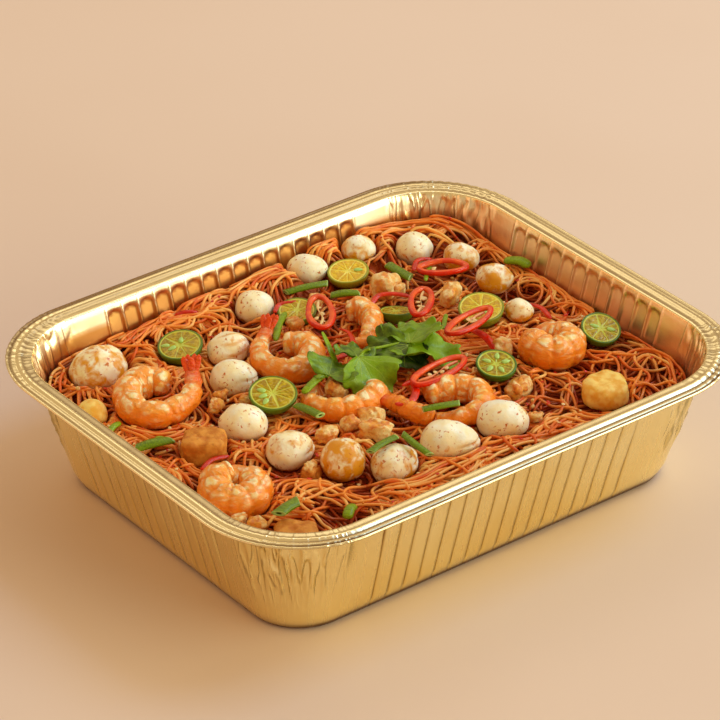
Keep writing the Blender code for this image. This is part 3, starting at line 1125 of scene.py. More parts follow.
RIM = (
    *((0.0, 0.75), (0.12, 0.28), (0.6, 0.05), (1.4, 0.08), (2.4, 0.14), (3.5, 0.24), (4.3, 0.12)),
    *((5.0, -0.26), (5.6, -0.54), (6.1, -0.60), (6.7, -0.40), (7.3, 0.05), (7.8, 0.42), (8.2, 0.52)),
    *((8.6, 0.44), (9.4, 0.34), (10.2, 0.44), (10.6, 0.80), (11.0, 1.00), (11.4, 0.80), (11.8, 0.50)),
    *((12.2, 0.44), (12.45, 0.56), (12.6, 0.80), (12.45, 1.1), (12.0, 1.2), (11.3, 1.15)),
)
# Painted shade and dark reflections in bands on the rim, one row for each side: front, right, back, left.
RIM_SHADE_BANDS = (
    ((0.3, 4.6, 0.22), (7.6, 8.5, 0.95), (8.5, 10.3, 0.45), (10.3, 11.9, 1.0), (12.5, 13.0, 0.5)),
    ((1.2, 3.4, 0.50), (3.4, 12.2, 0.30)),
    ((2.8, 6.4, 0.45), (10.0, 12.9, 0.90)),
    ((0.3, 5.4, 0.52), (8.8, 10.6, 0.20), (10.6, 11.5, 0.70)),
)
BASE = ((0.02, 1), (0.86, 1), (0.885, 0.75), (0.90, 0.2), (0.91, 0))
WALL = (
    *(4.4, 6, 8, 11, 16, 22, 28, 34, 39, 44, 48.5, 53, 57, 60.5),
    *(62.6, 63.8, 64.8, 65.7, 66.5, 67.3, 68.1, 69.0),
)


@dataclass
class FoilTray:
    """The pressed foil tray: fluted walls, gathered corners, a flange and a rolled edge.

    RIM holds the flange's section: distances out from the mouth and depths below the rim. The bands
    table holds the painted shade and dark reflections of the front, right, back and left rim: where each
    band starts and ends, and how dark it is. BASE holds shares of the base's size and of its raise, and
    WALL the heights of the wall's rows.
    """

    base: Point = (257.0, 202.0, 29.0)
    base_height: float = 4.0
    fillet: float = 4.0
    panel_raise: float = 0.8
    flange: float = 12.6
    rim_corner: float = 57.0
    foil: float = 0.28
    flutes: tuple[int, int] = (16, 12)
    fluted_share: float = 0.79
    flute_depth: float = 1.2
    crease_share: float = 0.085
    notch_height: float = 63.6
    arch_height: float = 68.4
    corner_steps: int = 84
    pinch: float = 0.45
    fold_depth: float = 1.5
    crimp: float = 0.20
    back_reach: float = 0.15
    crimp_pitch: float = 3.3
    fold_pitch: float = 6.5
    wobble: float = 0.18
    hand_bend: float = 0.35
    band_edge: float = 0.2

    def __post_init__(self) -> None:
        """Read the outer size from the frame."""
        low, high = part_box("tray")
        self.length, self.width, self.height = (high - low) / MM

    def size(self, height: float) -> Array:
        """Half length, half width and corner radius of the wall at a height: they grow evenly upwards.

        Args:
            height: The height above the table.

        Returns:
            The three sizes.
        """
        length, width, corner = self.base
        share = (height - self.base_height) / (self.height - self.base_height)
        mouth = np.array([self.length / 2, self.width / 2, self.rim_corner]) - self.flange
        low = np.array([length / 2, width / 2, corner])
        return low + (mouth - low) * share

    def side(self, flutes: int) -> Array:
        """Stations along one straight side.

        Args:
            flutes: Number of flutes on the side.

        Returns:
            For each station its share of the side, its crease (1 in a crease, 0 on a flute's panel), the
            height of the flute's arch over it, from 0 to 1, its gather, how near it is to the bottom of
            a crease, and whether it is off the fluted part.
        """
        edge, plain = self.crease_share, (1 - self.fluted_share) / 2
        cuts = np.array([0.0, edge / 2, edge, 0.24, 0.5, 0.76, 1 - edge, 1 - edge / 2])
        depth = np.clip(1 - np.minimum(cuts, 1 - cuts) / edge, 0, 1)
        share = plain + self.fluted_share * (np.arange(flutes)[:, None] + cuts) / flutes
        arch = np.sqrt(1 - (2 * cuts - 1) ** 2)
        fluted = together(share, smooth(depth, 0, 1), arch, 0.0, depth, 0.0).reshape(-1, 6)
        near = plain - self.fluted_share * edge / flutes * np.array([0.0, 0.5, 1.0, 2.0])
        first, last = np.array([0.0, 0.0, 0.0, 0.0, 0.5]), np.array([1.0, 0.5, 0.0, 0.0, 0.0])
        before = together([0.0, 0.5 * plain, *near[:0:-1]], first, 0.0, 0.0, first, 1.0)
        after = together([*(1 - near), 1 - 0.5 * plain], last, 0.0, 0.0, last, 1.0)
        return np.concatenate([before, fluted, after])

    def stations(self) -> Stations:
        """Stations round the tray, anticlockwise from the left end of the front side.

        Returns:
            All stations, in the order of the closed outline.
        """
        bend = (np.arange(self.corner_steps) + 0.5) / self.corner_steps
        bent = together(0.0, 0.0, np.sin(np.pi * bend) ** 0.6, 0.0, 1.0)
        core, normal, rest = [], [], []
        for number in range(4):
            side = self.side(self.flutes[number % 2])
            way, away = polar(TURN / 4 * (number - np.arange(2)))
            core += [(2 * side[:, :1] - 1) * way + away, np.tile(way + away, (len(bend), 1))]
            normal += [np.tile(away, (len(side), 1)), polar(TURN / 4 * (number - 1 + bend))]
            rest += [side[:, 1:], bent]
        return Stations(np.concatenate(core), np.concatenate(normal), *np.concatenate(rest).T)

    def base_rows(self, at: Stations) -> list[Array]:
        """Rows of the base, from its raised middle panel out to the fillet at the foot of the wall.

        Args:
            at: The stations.

        Returns:
            The rows, outwards.
        """
        size = self.size(self.base_height)
        rows = [at.ring(size * share, 0.0, lift * self.panel_raise) for share, lift in BASE]
        lean = np.arctan((self.size(1.0)[0] - self.size(0.0)[0]))
        foot = self.base_height - self.fillet * (1 - np.sin(lean))
        middle = -foot * np.tan(lean) - self.fillet * np.cos(lean)
        for angle in np.linspace(-TURN / 4, -lean, 4):
            out, lift = polar(angle, self.fillet)
            rows.append(at.ring(size, middle + out, self.fillet + lift))
        return rows

    def wall_rows(self, at: Stations, along: Array) -> list[Array]:
        """Rows of the wall.

        A flute's panel stands out by the flute's depth between two creases, from the foot to its arch.
        At the corners the foil is gathered in folds that deepen towards the rim.

        Args:
            at: The stations.
            along: Distance round the tray at each station.

        Returns:
            The rows, upwards.
        """
        top = self.arch_tops(at)
        end = 40.0 + 12.0 * waves(together(along, 0.0, 0.0), 5.0, 9)
        rows = []
        for height in WALL:
            ending = np.where(at.plain > 0, smooth(height, 30.0, 69.0), smooth(height, top - 1.6, top + 0.2))
            panel = (1 - at.crease) * smooth(height, 2.5, 8.0) * (1 - ending)
            sway = 1.6 * waves(together(along * 0.3, height, 0.0), 16.0, 6)
            folds = waves(together(along + sway, height * 0.12, 0.0), self.fold_pitch, 5)
            fold = np.clip(1 - 2.6 * np.abs(folds), -0.25, 1) * at.gather * smooth(height, 20.0, end)
            wobble = self.wobble * waves(together(along, height, 0.0), 70.0, 8) * smooth(height, 0.0, 30.0)
            out = panel * self.flute_depth + fold * self.fold_depth * (1 - smooth(height, 66.0, 70.0) * 0.5)
            out = out + wobble - self.pinch * at.groove * smooth(height, 3.0, 7.0)
            rows.append(at.ring(self.size(height), out, height))
        return rows

    def arch_tops(self, at: Stations) -> Array:
        """Height at which the flute ends at each station."""
        return self.notch_height + (self.arch_height - self.notch_height) * at.arch

    def rim_rows(self, at: Stations, along: Array) -> list[Array]:
        """Rows of the flange and the rolled edge, outwards, over and under.

        Args:
            at: The stations.
            along: Distance round the tray at each station.

        Returns:
            The rows, each at a distance out from the mouth and a depth below the rim.
        """
        run, back = together(along, 0.0, 0.0), np.maximum(0, at.normal[:, 1])
        beat = np.sin(TURN * along / self.crimp_pitch + 1.8 * waves(run, 26.0, 12))
        beat = self.crimp * at.gather * beat * (0.6 + 0.5 * waves(run, 14.0, 13))
        rows = []
        for out, drop in RIM:
            press = beat * smooth(out, 0.5, 2.0)
            step = out * (1 + self.back_reach * back**2) + press * 0.4 * smooth(out, 8.0, 12.0)
            rows.append(at.ring(self.size(self.height), step, self.height - drop + press))
        return rows

    def creases(self, at: Stations, grid: Array) -> tuple[Array, Array]:
        """How much painted crease shade each point takes, 0 to 1, and how dark the painted shade of the rim's
        bands and the foot line is there.

        Painted crease shade lies between flutes and at the foot. Each side has its own bands of painted shade
        and dark reflection, and they fade into one another round the corners.

        Args:
            at: The stations.
            grid: The points, in rows upwards.

        Returns:
            Both values for each point.
        """
        height = grid[..., 2]
        depth = at.groove * smooth(height, 4.0, 9.0) * (1 - smooth(height, 58.0, 63.0))
        # Painted contact shadow along the foot.
        depth = np.maximum(depth, 1 - smooth(height, 1.0, 3.4))
        depth[-len(RIM) :] = 0
        share = np.maximum(0, at.normal @ np.array([(0, 1, 0, -1), (-1, 0, 1, 0)])) ** 2
        out = np.array(RIM)[:, :1]
        line = np.zeros(height.shape)
        for side, bands in enumerate(RIM_SHADE_BANDS):
            for start, end, dark in bands:
                edge = self.band_edge
                inside = smooth(out, start - edge, start + edge) * (1 - smooth(out, end - edge, end + edge))
                line[-len(RIM) :] += dark * inside * share[:, side]
        # Painted contact shadow line along the foot, strongest on the front.
        foot = (0.15 + 0.85 * share[:, 0]) * (1 - smooth(height, 2.6, 5.2))
        return depth, np.minimum(line + foot, 1)

    def shape(self) -> Shape:
        """The outer face of the foil, from the middle of the base to the inside of the rolled edge.

        Returns:
            An open sheet, before it gets its thickness.
        """
        at = self.stations()
        along = run_of(at.ring(self.size(self.height / 2), 0.0, 0.0))
        grid = np.stack(self.base_rows(at) + self.wall_rows(at, along) + self.rim_rows(at, along))
        hand = waves(grid * [1, 1, 0], 150.0, 3) * smooth(grid[..., 2], 20.0, self.height)
        grid[..., 2] += self.hand_bend * hand
        height = grid[..., 2]
        up = np.cumsum(np.linalg.norm(np.diff(grid, axis=0, prepend=grid[:1]), axis=2).mean(1))
        crinkle = at.gather * smooth(height, 10.0, 40.0)
        crinkle[-len(RIM) :] *= 0.35
        crease, line = self.creases(at, grid)
        rim = (np.arange(len(grid)) >= len(grid) - len(RIM))[:, None] * 1.0
        top, back = self.arch_tops(at), np.maximum(0, at.normal[:, 1]) ** 2
        # Painted reflection of the orange food on the inner wall below the arch tops, strongest on the back
        # wall.
        warm = (1 - smooth(height, top - 2.2, top + 0.2)) * (0.30 + 0.70 * back)
        values = {"crinkle": crinkle, "crease": crease, "line": line, "rim": rim, "warm": warm}
        return surface(grid, caps=(True, False), foil=together(along, up[:, None], 0.0), **values)

    def add(self) -> None:
        """Add the tray to the scene, with the foil's thickness inside its outer face."""
        piece = add_piece("foil_tray", self.shape(), GoldFoil().material(), Slot.FOIL, "tray")
        # The inner shell is paler, with weaker painted crease shade and the painted reflection of the food.
        face, deep = screen(253, 242, 208), screen(250, 234, 190)
        inside = GoldFoil("gold_foil_inside", face, deep, crease_shading=0.2, food_reflection=0.9, gathers=0.6, dull=0.36)
        piece.data.materials.append(inside.material())
        wall = thicken(piece, "foil thickness", self.foil)
        wall.material_offset = wall.material_offset_rim = 1


# --- The noodles -------------------------------------------------------


@dataclass(frozen=True)
class Flow:
    """A bundle of noodles that lies where the eye goes: the points it passes and its number of strands."""

    strands: int
    points: tuple[tuple[float, float], ...]


FLOWS = (
    Flow(
        6,
        ((-105, -56), (-98, -50), (-90, -47), (-80, -55), (-74, -65), (-66, -75), (-57, -82), (-48, -92)),
    ),
    Flow(5, ((-90, -75), (-94, -66), (-89, -59), (-83, -59), (-78, -65), (-70, -79), (-62, -90))),
    Flow(6, ((-60, -76), (-47, -82), (-34, -86), (-14, -88), (2, -88), (17, -85))),
    Flow(6, ((-10, -91), (9, -90), (22, -91), (33, -92), (48, -92), (60, -93), (70, -98), (80, -102))),
    Flow(4, ((33, -94), (46, -88), (60, -86), (72, -90), (78, -98))),
    Flow(4, ((78, -47), (81, -54), (81, -62), (74, -71), (65, -76), (51, -79), (38, -83))),
    Flow(3, ((71, -34), (70, -47), (64, -60), (53, -69))),
    Flow(5, ((92, -98), (98, -91), (110, -84), (123, -74), (127, -64), (125, -55), (114, -53), (102, -62))),
    Flow(5, ((98, -58), (104, -64), (119, -66), (131, -67), (131, -79), (123, -92), (112, -99))),
    Flow(4, ((134, 77), (137, 61), (134, 48), (128, 36))),
    Flow(5, ((112, 12), (123, 11), (133, 17), (136, 27), (132, 35), (123, 34))),
    Flow(3, ((134, 34), (137, 24), (137, 8), (133, -4), (124, -9))),
    Flow(3, ((123, -1), (132, -2), (137, -8), (135, -20))),
    Flow(4, ((-84, 104), (-74, 108), (-62, 108), (-50, 109), (-41, 106), (-39, 98))),
    Flow(5, ((-64, 96), (-59, 104), (-50, 107), (-39, 104), (-30, 98), (-27, 90), (-32, 81), (-41, 78))),
    Flow(3, ((-67, 106), (-72, 100), (-74, 93), (-72, 84))),
    Flow(5, ((-126, 42), (-120, 30), (-116, 22), (-103, 20), (-93, 25))),
    Flow(4, ((-108, 36), (-101, 28), (-99, 21), (-99, 11))),
    Flow(4, ((-133, 12), (-128, 7), (-127, -3), (-128, -15), (-130, -25))),
    Flow(3, ((-137, -4), (-134, -2), (-129, -3), (-130, -12), (-134, -22))),
    Flow(4, ((-114, 8), (-117, -4), (-117, -13), (-112, -17), (-101, -14), (-92, -15), (-82, -22))),
    Flow(4, ((-51, -1), (-62, -11), (-76, -18), (-86, -24))),
    Flow(3, ((-61, 61), (-67, 48), (-73, 35))),
    Flow(3, ((-132, -53), (-115, -53), (-105, -49), (-96, -42))),
    Flow(3, ((-106, -82), (-90, -78), (-83, -75), (-81, -85), (-84, -94))),
    Flow(4, ((-128, 86), (-118, 98), (-100, 106), (-78, 101), (-60, 108), (-42, 103), (-26, 110), (-8, 105))),
    Flow(5, ((-50, 110), (-34, 101), (-16, 108), (0, 100), (14, 108), (28, 102), (42, 110), (58, 104))),
    Flow(3, ((-70, 96), (-56, 104), (-44, 97), (-34, 106), (-18, 98), (-6, 106), (8, 112))),
    Flow(6, ((-20, 111), (4, 112), (34, 112), (66, 112), (96, 110), (118, 100), (131, 82))),
    Flow(5, ((-8, 103), (18, 110), (44, 105), (70, 110), (96, 102), (114, 92), (124, 74))),
    Flow(4, ((40, 98), (62, 106), (84, 98), (104, 98), (116, 82), (120, 66))),
    Flow(5, ((38, 84), (48, 80), (57, 74), (67, 71), (80, 74), (92, 70))),
    Flow(4, ((46, 62), (52, 70), (60, 79), (66, 88), (76, 95))),
    Flow(4, ((60, 92), (66, 84), (66, 76), (60, 68), (52, 64), (42, 66))),
)


@dataclass
class NoodleHeap:
    """Thin noodles in bundles, laid one on another over a smaller core, under and round the toppings."""

    tray: FoilTray
    toppings: list[Shape]
    level: float = 51.0
    back_rise: float = 3.0
    far_rise: float = 7.0
    right_sink: float = 1.5
    lump: float = 1.8
    core_depth: float = 6.5
    back_reach: float = 1.0
    radius: float = 0.82
    pitch: float = 1.8
    bundles: int = 165
    bundle_steps: int = 96
    loose: int = 190
    loose_steps: int = 90
    most_above: float = 1.6
    clearance: float = 2.2
    under_topping: float = 1.5
    core_clearance: float = 2.0
    look_ahead: float = 11.0
    turn_in: float = 10.0
    drift: float = 1.3
    most_faces: int = 180000
    cell: float = 0.6
    step: float = 0.6
    segment: float = 2.6
    sides: int = 6
    seed: int = 11

    def __post_init__(self) -> None:
        """Work out the ground that the noodles have, and the two height maps that they are laid by."""
        clear = self.radius + self.clearance
        mouth = self.tray.size(self.level + 0.5)
        self.half_length, self.half_width, self.corner = (part - clear for part in mouth)
        self.columns = int(2 * self.half_length / self.cell) + 8
        self.rows = int(2 * self.half_width / self.cell) + 8
        x = (np.arange(self.columns) - self.columns / 2) * self.cell
        y = (np.arange(self.rows) - self.rows / 2) * self.cell
        self.bed = self.height(*np.meshgrid(x, y))
        self.roof = np.full(self.bed.shape, OPEN_SKY)
        for topping in self.toppings:
            row, column = self.cells(topping.points[:, :2])
            np.minimum.at(self.roof, (row, column), topping.points[:, 2])
        self.roof = lowest_near(self.roof, 3)
        depth = self.core_depth - 3.0 * smooth(y, 84, 102)[:, None]
        self.top = np.minimum(self.bed - depth, self.roof - self.under_topping)
        self.core_top = self.top.copy()

    def height(self, x: Array, y: Array) -> Array:
        """Height of the heap: a level that climbs the back wall, sinks to the right, and has low lumps.

        Args:
            x: Places along the tray.
            y: Places across it.

        Returns:
            The height at each place.
        """
        back = (self.back_rise + self.far_rise * smooth(x, -70, 40)) * smooth(y, 62, 104)
        right = self.right_sink * np.maximum(0, x / (self.tray.length / 2)) ** 2
        return self.level + back - right + self.lump * np.sin(x / 16 + 1) * np.cos(y / 13)

    def cells(self, flat: Array) -> tuple[Array, Array]:
        """Row and column of the height maps under points.

        Args:
            flat: Points seen from above, one to a row.

        Returns:
            The rows and the columns, kept inside the maps.
        """
        column = np.clip((flat[..., 0] / self.cell + self.columns / 2 + 0.5).astype(int), 0, self.columns - 1)
        row = np.clip((flat[..., 1] / self.cell + self.rows / 2 + 0.5).astype(int), 0, self.rows - 1)
        return row, column

    def held(self, flat: Array) -> Array:
        """Move points that are past the wall back onto its line.

        Args:
            flat: Points seen from above.

        Returns:
            The points, each inside the line or on it.
        """
        straight = np.array([self.half_length - self.corner, self.half_width - self.corner])
        core = np.clip(flat, -straight, straight + [0, self.back_reach])
        away = flat - core
        far = np.linalg.norm(away, axis=-1, keepdims=True)
        return core + away * np.minimum(1, self.corner / np.maximum(far, 1e-6))

    def wander(self, count: int, steps: int, swing: tuple[float, float], rng: np.random.Generator) -> Array:
        """Lines that wander over the heap.

        Each step goes ahead, turned by a steady bend and a swinging one; near the wall it turns inwards.

        Args:
            count: Number of lines.
            steps: Number of steps.
            swing: Least and most of the swinging bend, as one over a radius.
            rng: The draw.

        Returns:
            The lines, count by steps by 2.
        """
        place = rng.uniform(-1, 1, (count, 2)) * [self.half_length - 8, self.half_width - 8]
        heading = rng.uniform(0, TURN, count)
        steady, turn = rng.normal(0, 1 / 45, count), rng.uniform(*swing, count)
        period, phase = rng.uniform(45, 110, count), rng.uniform(0, TURN, count)
        stride = 2 * self.step
        line = []
        for number in range(steps):
            way = together(np.cos(heading), np.sin(heading))
            ahead = place + self.look_ahead * way
            near = np.linalg.norm(ahead - self.held(ahead), axis=-1) > 0.01
            inward = np.sign(way[:, 1] * place[:, 0] - way[:, 0] * place[:, 1])
            bend = steady + turn * np.sin(TURN * number * stride / period + phase)
            heading = heading + stride * np.where(near, inward / self.turn_in, bend)
            line.append(place)
            place = place + stride * way
        return np.stack(line, 1)

    def spread(self, centre: Array, strands: int, rng: np.random.Generator) -> list[Array]:
        """Lay a bundle's strands side by side along its middle line, each with its own slow drift.

        Args:
            centre: The middle line, seen from above.
            strands: Number of strands.
            rng: The draw.

        Returns:
            The lines of the strands, in the order that they are laid.
        """
        side = beside(centre)
        run = np.linspace(0, len(centre) * self.step, len(centre))
        lines = []
        for number in rng.permutation(strands):
            away = (number - (strands - 1) / 2) * self.pitch
            drift = self.drift * np.sin(TURN * run / rng.uniform(30, 70) + rng.uniform(0, TURN))
            start, end = rng.uniform(0, 0.16, 2) * len(centre)
            line = centre + side * (away + drift)[:, None]
            lines.append(even(self.held(line[int(start) : len(line) - int(end)]), self.step))
        return lines

    def lay(self, line: Array, above: float) -> Array:
        """Drop one strand onto the heap and raise the height map under it.

        The strand follows the highest ground under it, smoothed, because a noodle bridges small gaps;
        it stays under the toppings and under the heap's top.

        Args:
            line: Its points seen from above.
            above: How far it may lie over the heap's height.

        Returns:
            Its centre line, n by 3.
        """
        side = beside(line)
        row, column = self.cells(line)
        ground = np.full(len(line), -1.0)
        for share in (-0.6, 0.0, 0.6):
            ground = np.maximum(ground, self.top[self.cells(line + side * share * self.radius)])
        lift = blurred(widened(ground, 2), 5) + self.radius * 0.9
        most = np.minimum(self.roof[row, column] - self.radius * 0.9, self.bed[row, column] + above)
        lift = blurred(np.minimum(lift, most), 2)
        for share in (-0.9, -0.45, 0.0, 0.45, 0.9):
            hump = lift + self.radius * np.sqrt(1 - share * share)
            np.maximum.at(self.top, self.cells(line + side * share * self.radius), hump)
        return np.column_stack([line, lift])

    def strands(self) -> list[Array]:
        """All centre lines, lowest first: wandering bundles, the chosen flows, then loose strands.

        Returns:
            One array of points to each strand.
        """
        rng = np.random.default_rng(self.seed)
        lines = []
        for centre in self.wander(self.bundles, self.bundle_steps, (1 / 30, 1 / 9), rng):
            cut = int(rng.integers(60, self.bundle_steps + 1))
            strands = int(rng.integers(4, 9))
            for line in self.spread(even(centre[:cut], self.step), strands, rng):
                lines.append(self.lay(line, self.most_above * rng.uniform(-0.6, 0.8)))
        for flow in FLOWS:
            centre = self.held(spline(np.array(flow.points), self.step))
            for line in self.spread(centre, flow.strands, rng):
                lines.append(self.lay(line, self.most_above + rng.uniform(0.2, 1.6)))
        for centre in self.wander(self.loose, self.loose_steps, (1 / 16, 1 / 6.5), rng):
            line = even(self.held(centre[: int(rng.integers(30, self.loose_steps))]), self.step)
            lines.append(self.lay(line, self.most_above + rng.uniform(0.0, 1.8)))
        return lines

    def strand(self, line: Array, tint: float) -> Shape:
        """One noodle: a round tube along its line, narrowed at its closed ends.

        Args:
            line: Its centre line.
            tint: Its own shade, 0 to 1.

        Returns:
            The noodle.
        """
        line = even(line, self.segment)
        width = np.full(len(line), self.radius)
        width[[0, -1]] *= 0.6
        grid, _ = tube(line, circle(self.sides) * width[:, None, None])
        # How deep below the heap's top a strand lies sets its painted shade.
        depth = self.height(line[:, 0], line[:, 1]) + self.most_above - line[:, 2]
        return solid(grid, tint=tint, sunk=smooth(depth, 0.4, 4.6)[:, None])

    def core(self) -> Shape:
        """The bed under the strands: its top follows the height map, and its sides stand off the wall.

        Returns:
            A closed solid.
        """
        at = self.tray.stations()
        thinned = Stations(*(part[::3] for part in vars(at).values()))
        rows = []
        for height in np.linspace(2.5, self.level - self.core_depth - 3, 5):
            rows.append(thinned.ring(self.tray.size(height), -self.core_clearance, height))
        for share in np.linspace(0.975, 0.01, 70):
            row = thinned.ring(np.array([self.half_length, self.half_width, self.corner]) * share, 0.0, 0.0)
            row[:, 2] = self.core_top[self.cells(row[:, :2])]
            rows.append(row)
        grid = np.stack(rows)
        grid[5:, :, 2] += 0.5 * waves(grid[5:] * [1, 1, 0], 5.0, 21)
        return solid(grid, sauce=0.0, brown=0.0)

    def add(self) -> None:
        """Add the core, which stands for the CAD bed, and the strands in pieces of a fair size."""
        add_piece("noodle_core", self.core(), SHADED_NOODLE_BED.material(), Slot.NOODLE, "noodles")
        finish = Noodles().material()
        lines = self.strands()
        rng = np.random.default_rng(self.seed + 1)
        shapes = [self.strand(line, tint) for line, tint in zip(lines, rng.uniform(0, 1, len(lines)))]
        faces = np.cumsum([2 * len(shape.quads) + len(shape.tris) for shape in shapes])
        parts = int(np.ceil(faces[-1] / self.most_faces))
        share = np.minimum((faces - 1) * parts // faces[-1], parts - 1)
        for part in range(parts):
            chosen = [shape for shape, owner in zip(shapes, share) if owner == part]
            add_piece(f"noodle_strands_{part + 1}", join(chosen), finish, Slot.NOODLE, "noodles")
        log.info("noodles: %d strands, %d triangles", len(lines), faces[-1])


def beside(line: Array) -> Array:
    """The direction to the left of a flat line at each of its points."""
    way = unit(np.gradient(line, axis=0))
    return together(-way[:, 1], way[:, 0])


def lowest_near(values: Array, reach: int) -> Array:
    """For each cell of a map, the lowest value within a round reach of cells.

    Args:
        values: The map.
        reach: How many cells it looks each way.

    Returns:
        A map of the same size.
    """
    padded = np.pad(values, reach, mode="edge")
    rows, columns = values.shape
    low = values
    for down in range(-reach, reach + 1):
        for right in range(-reach, reach + 1):
            if down * down + right * right <= reach * reach + 1:
                row, column = reach + down, reach + right
                low = np.minimum(low, padded[row : row + rows, column : column + columns])
    return low


def widened(values: Array, reach: int) -> Array:
    """For each entry of a row, the highest value within a reach."""
    padded = np.pad(values, reach, mode="edge")
    return np.max([padded[start : start + len(values)] for start in range(2 * reach + 1)], axis=0)


def blurred(values: Array, reach: int) -> Array:
    """For each entry of a row, the mean near it, weighted towards it like a bell."""
    weight = np.exp(-0.5 * (np.arange(-2 * reach, 2 * reach + 1) / reach) ** 2)
    return np.convolve(np.pad(values, 2 * reach, mode="edge"), weight / weight.sum(), "valid")


# --- Toppings ----------------------------------------------------------


@dataclass(frozen=True)
class Numbered:
    """A piece that stands for the CAD node of its kind and number."""

    number: int
    kind = "{}"

    @property
    def node(self) -> str:
        """Name of the CAD node."""
        return self.kind.format(self.number)


@dataclass(frozen=True)
class Egg(Numbered):
    """A peeled quail egg.

    Its radius follows a sine from end to end, leaning to the blunt end, with shallow lumps; some have
    long furrows or a slit at the tip.
    """

    kind = "egg_{:02d}"
    sauce: float
    pointed: float = 0.10
    furrows: float = 0.0
    slit: float = 0.0
    lump: float = 0.26
    pit: float = 0.05
    slit_depth: float = 1.4
    rows: int = 44
    columns: int = 60

    def shape(self) -> Shape:
        """The egg in its place.

        Returns:
            A closed solid.
        """
        place = Place.of(self.node)
        long, wide, high = place.half
        angle = np.linspace(0.04, np.pi - 0.04, self.rows)[:, None]
        turn = bearings(self.columns)
        reach = np.sin(angle) * (1 - self.pointed * np.cos(np.pi - angle))
        reach = reach * (1 - self.furrows * (0.5 + 0.5 * np.cos(7 * turn + 2 * angle)) * np.sin(angle))
        x = -long * np.cos(angle)
        grid = together(x, wide * reach * np.cos(turn), high * reach * np.sin(turn))
        outward = unit(grid)
        lumps = self.lump * waves(grid + 50 * self.number, 9.0, self.number)
        lumps += self.pit * waves(grid + 50 * self.number, 3.5, self.number + 40)
        lip = np.exp(-(((grid[..., 2] - 0.15 * high) / 0.6) ** 2)) * smooth(x / long, 0.0, 0.6)
        grid = grid + outward * (lumps - self.slit_depth * self.slit * lip)[..., None]
        low = smooth(-grid[..., 2] / high, -0.1, 0.9)
        drift = 0.12 * waves(grid + 90 * self.number, 12.0, self.number + 80)
        sauce = np.clip(self.sauce + 0.30 * low + drift + 0.5 * self.slit * lip, 0, 1)
        stripe = smooth(np.cos(9 * turn + 1.2 * np.sin(3 * angle)), 0.35, 0.9) * smooth(x / long, -0.7, -0.2)
        brown = np.clip(12 * self.furrows * stripe + 0.5 * self.slit * lip, 0, 0.75)
        whole = solid(grid, sauce=sauce, brown=brown)
        return whole.placed(place.axes, place.centre)


EGGS = (
    Egg(1, 0.60, 0.06),
    Egg(2, 0.24),
    Egg(3, 0.26, 0.12),
    Egg(4, 0.62),
    Egg(5, 0.40, 0.05),
    Egg(6, 0.62),
    Egg(7, 0.66),
    Egg(8, 0.34, 0.10, 0.06),
    Egg(9, 0.30, 0.05, 0.0, 0.6),
    Egg(10, 0.20, 0.05),
    Egg(11, 0.36, 0.16, 0.0, 0.9),
    Egg(12, 0.80, 0.0),
    Egg(13, 0.50, 0.10, 0.0, 0.8),
    Egg(14, 0.26, 0.22, 0.0, 0.9),
    Egg(15, 0.28, 0.05),
    Egg(16, 0.56, 0.08),
)


FAN = ((-0.26, 0.9, 0.4), (-0.10, 1.0, 0.1), (0.0, 0.75, 0.9), (0.11, 1.0, 0.3), (0.25, 0.95, 0.5))


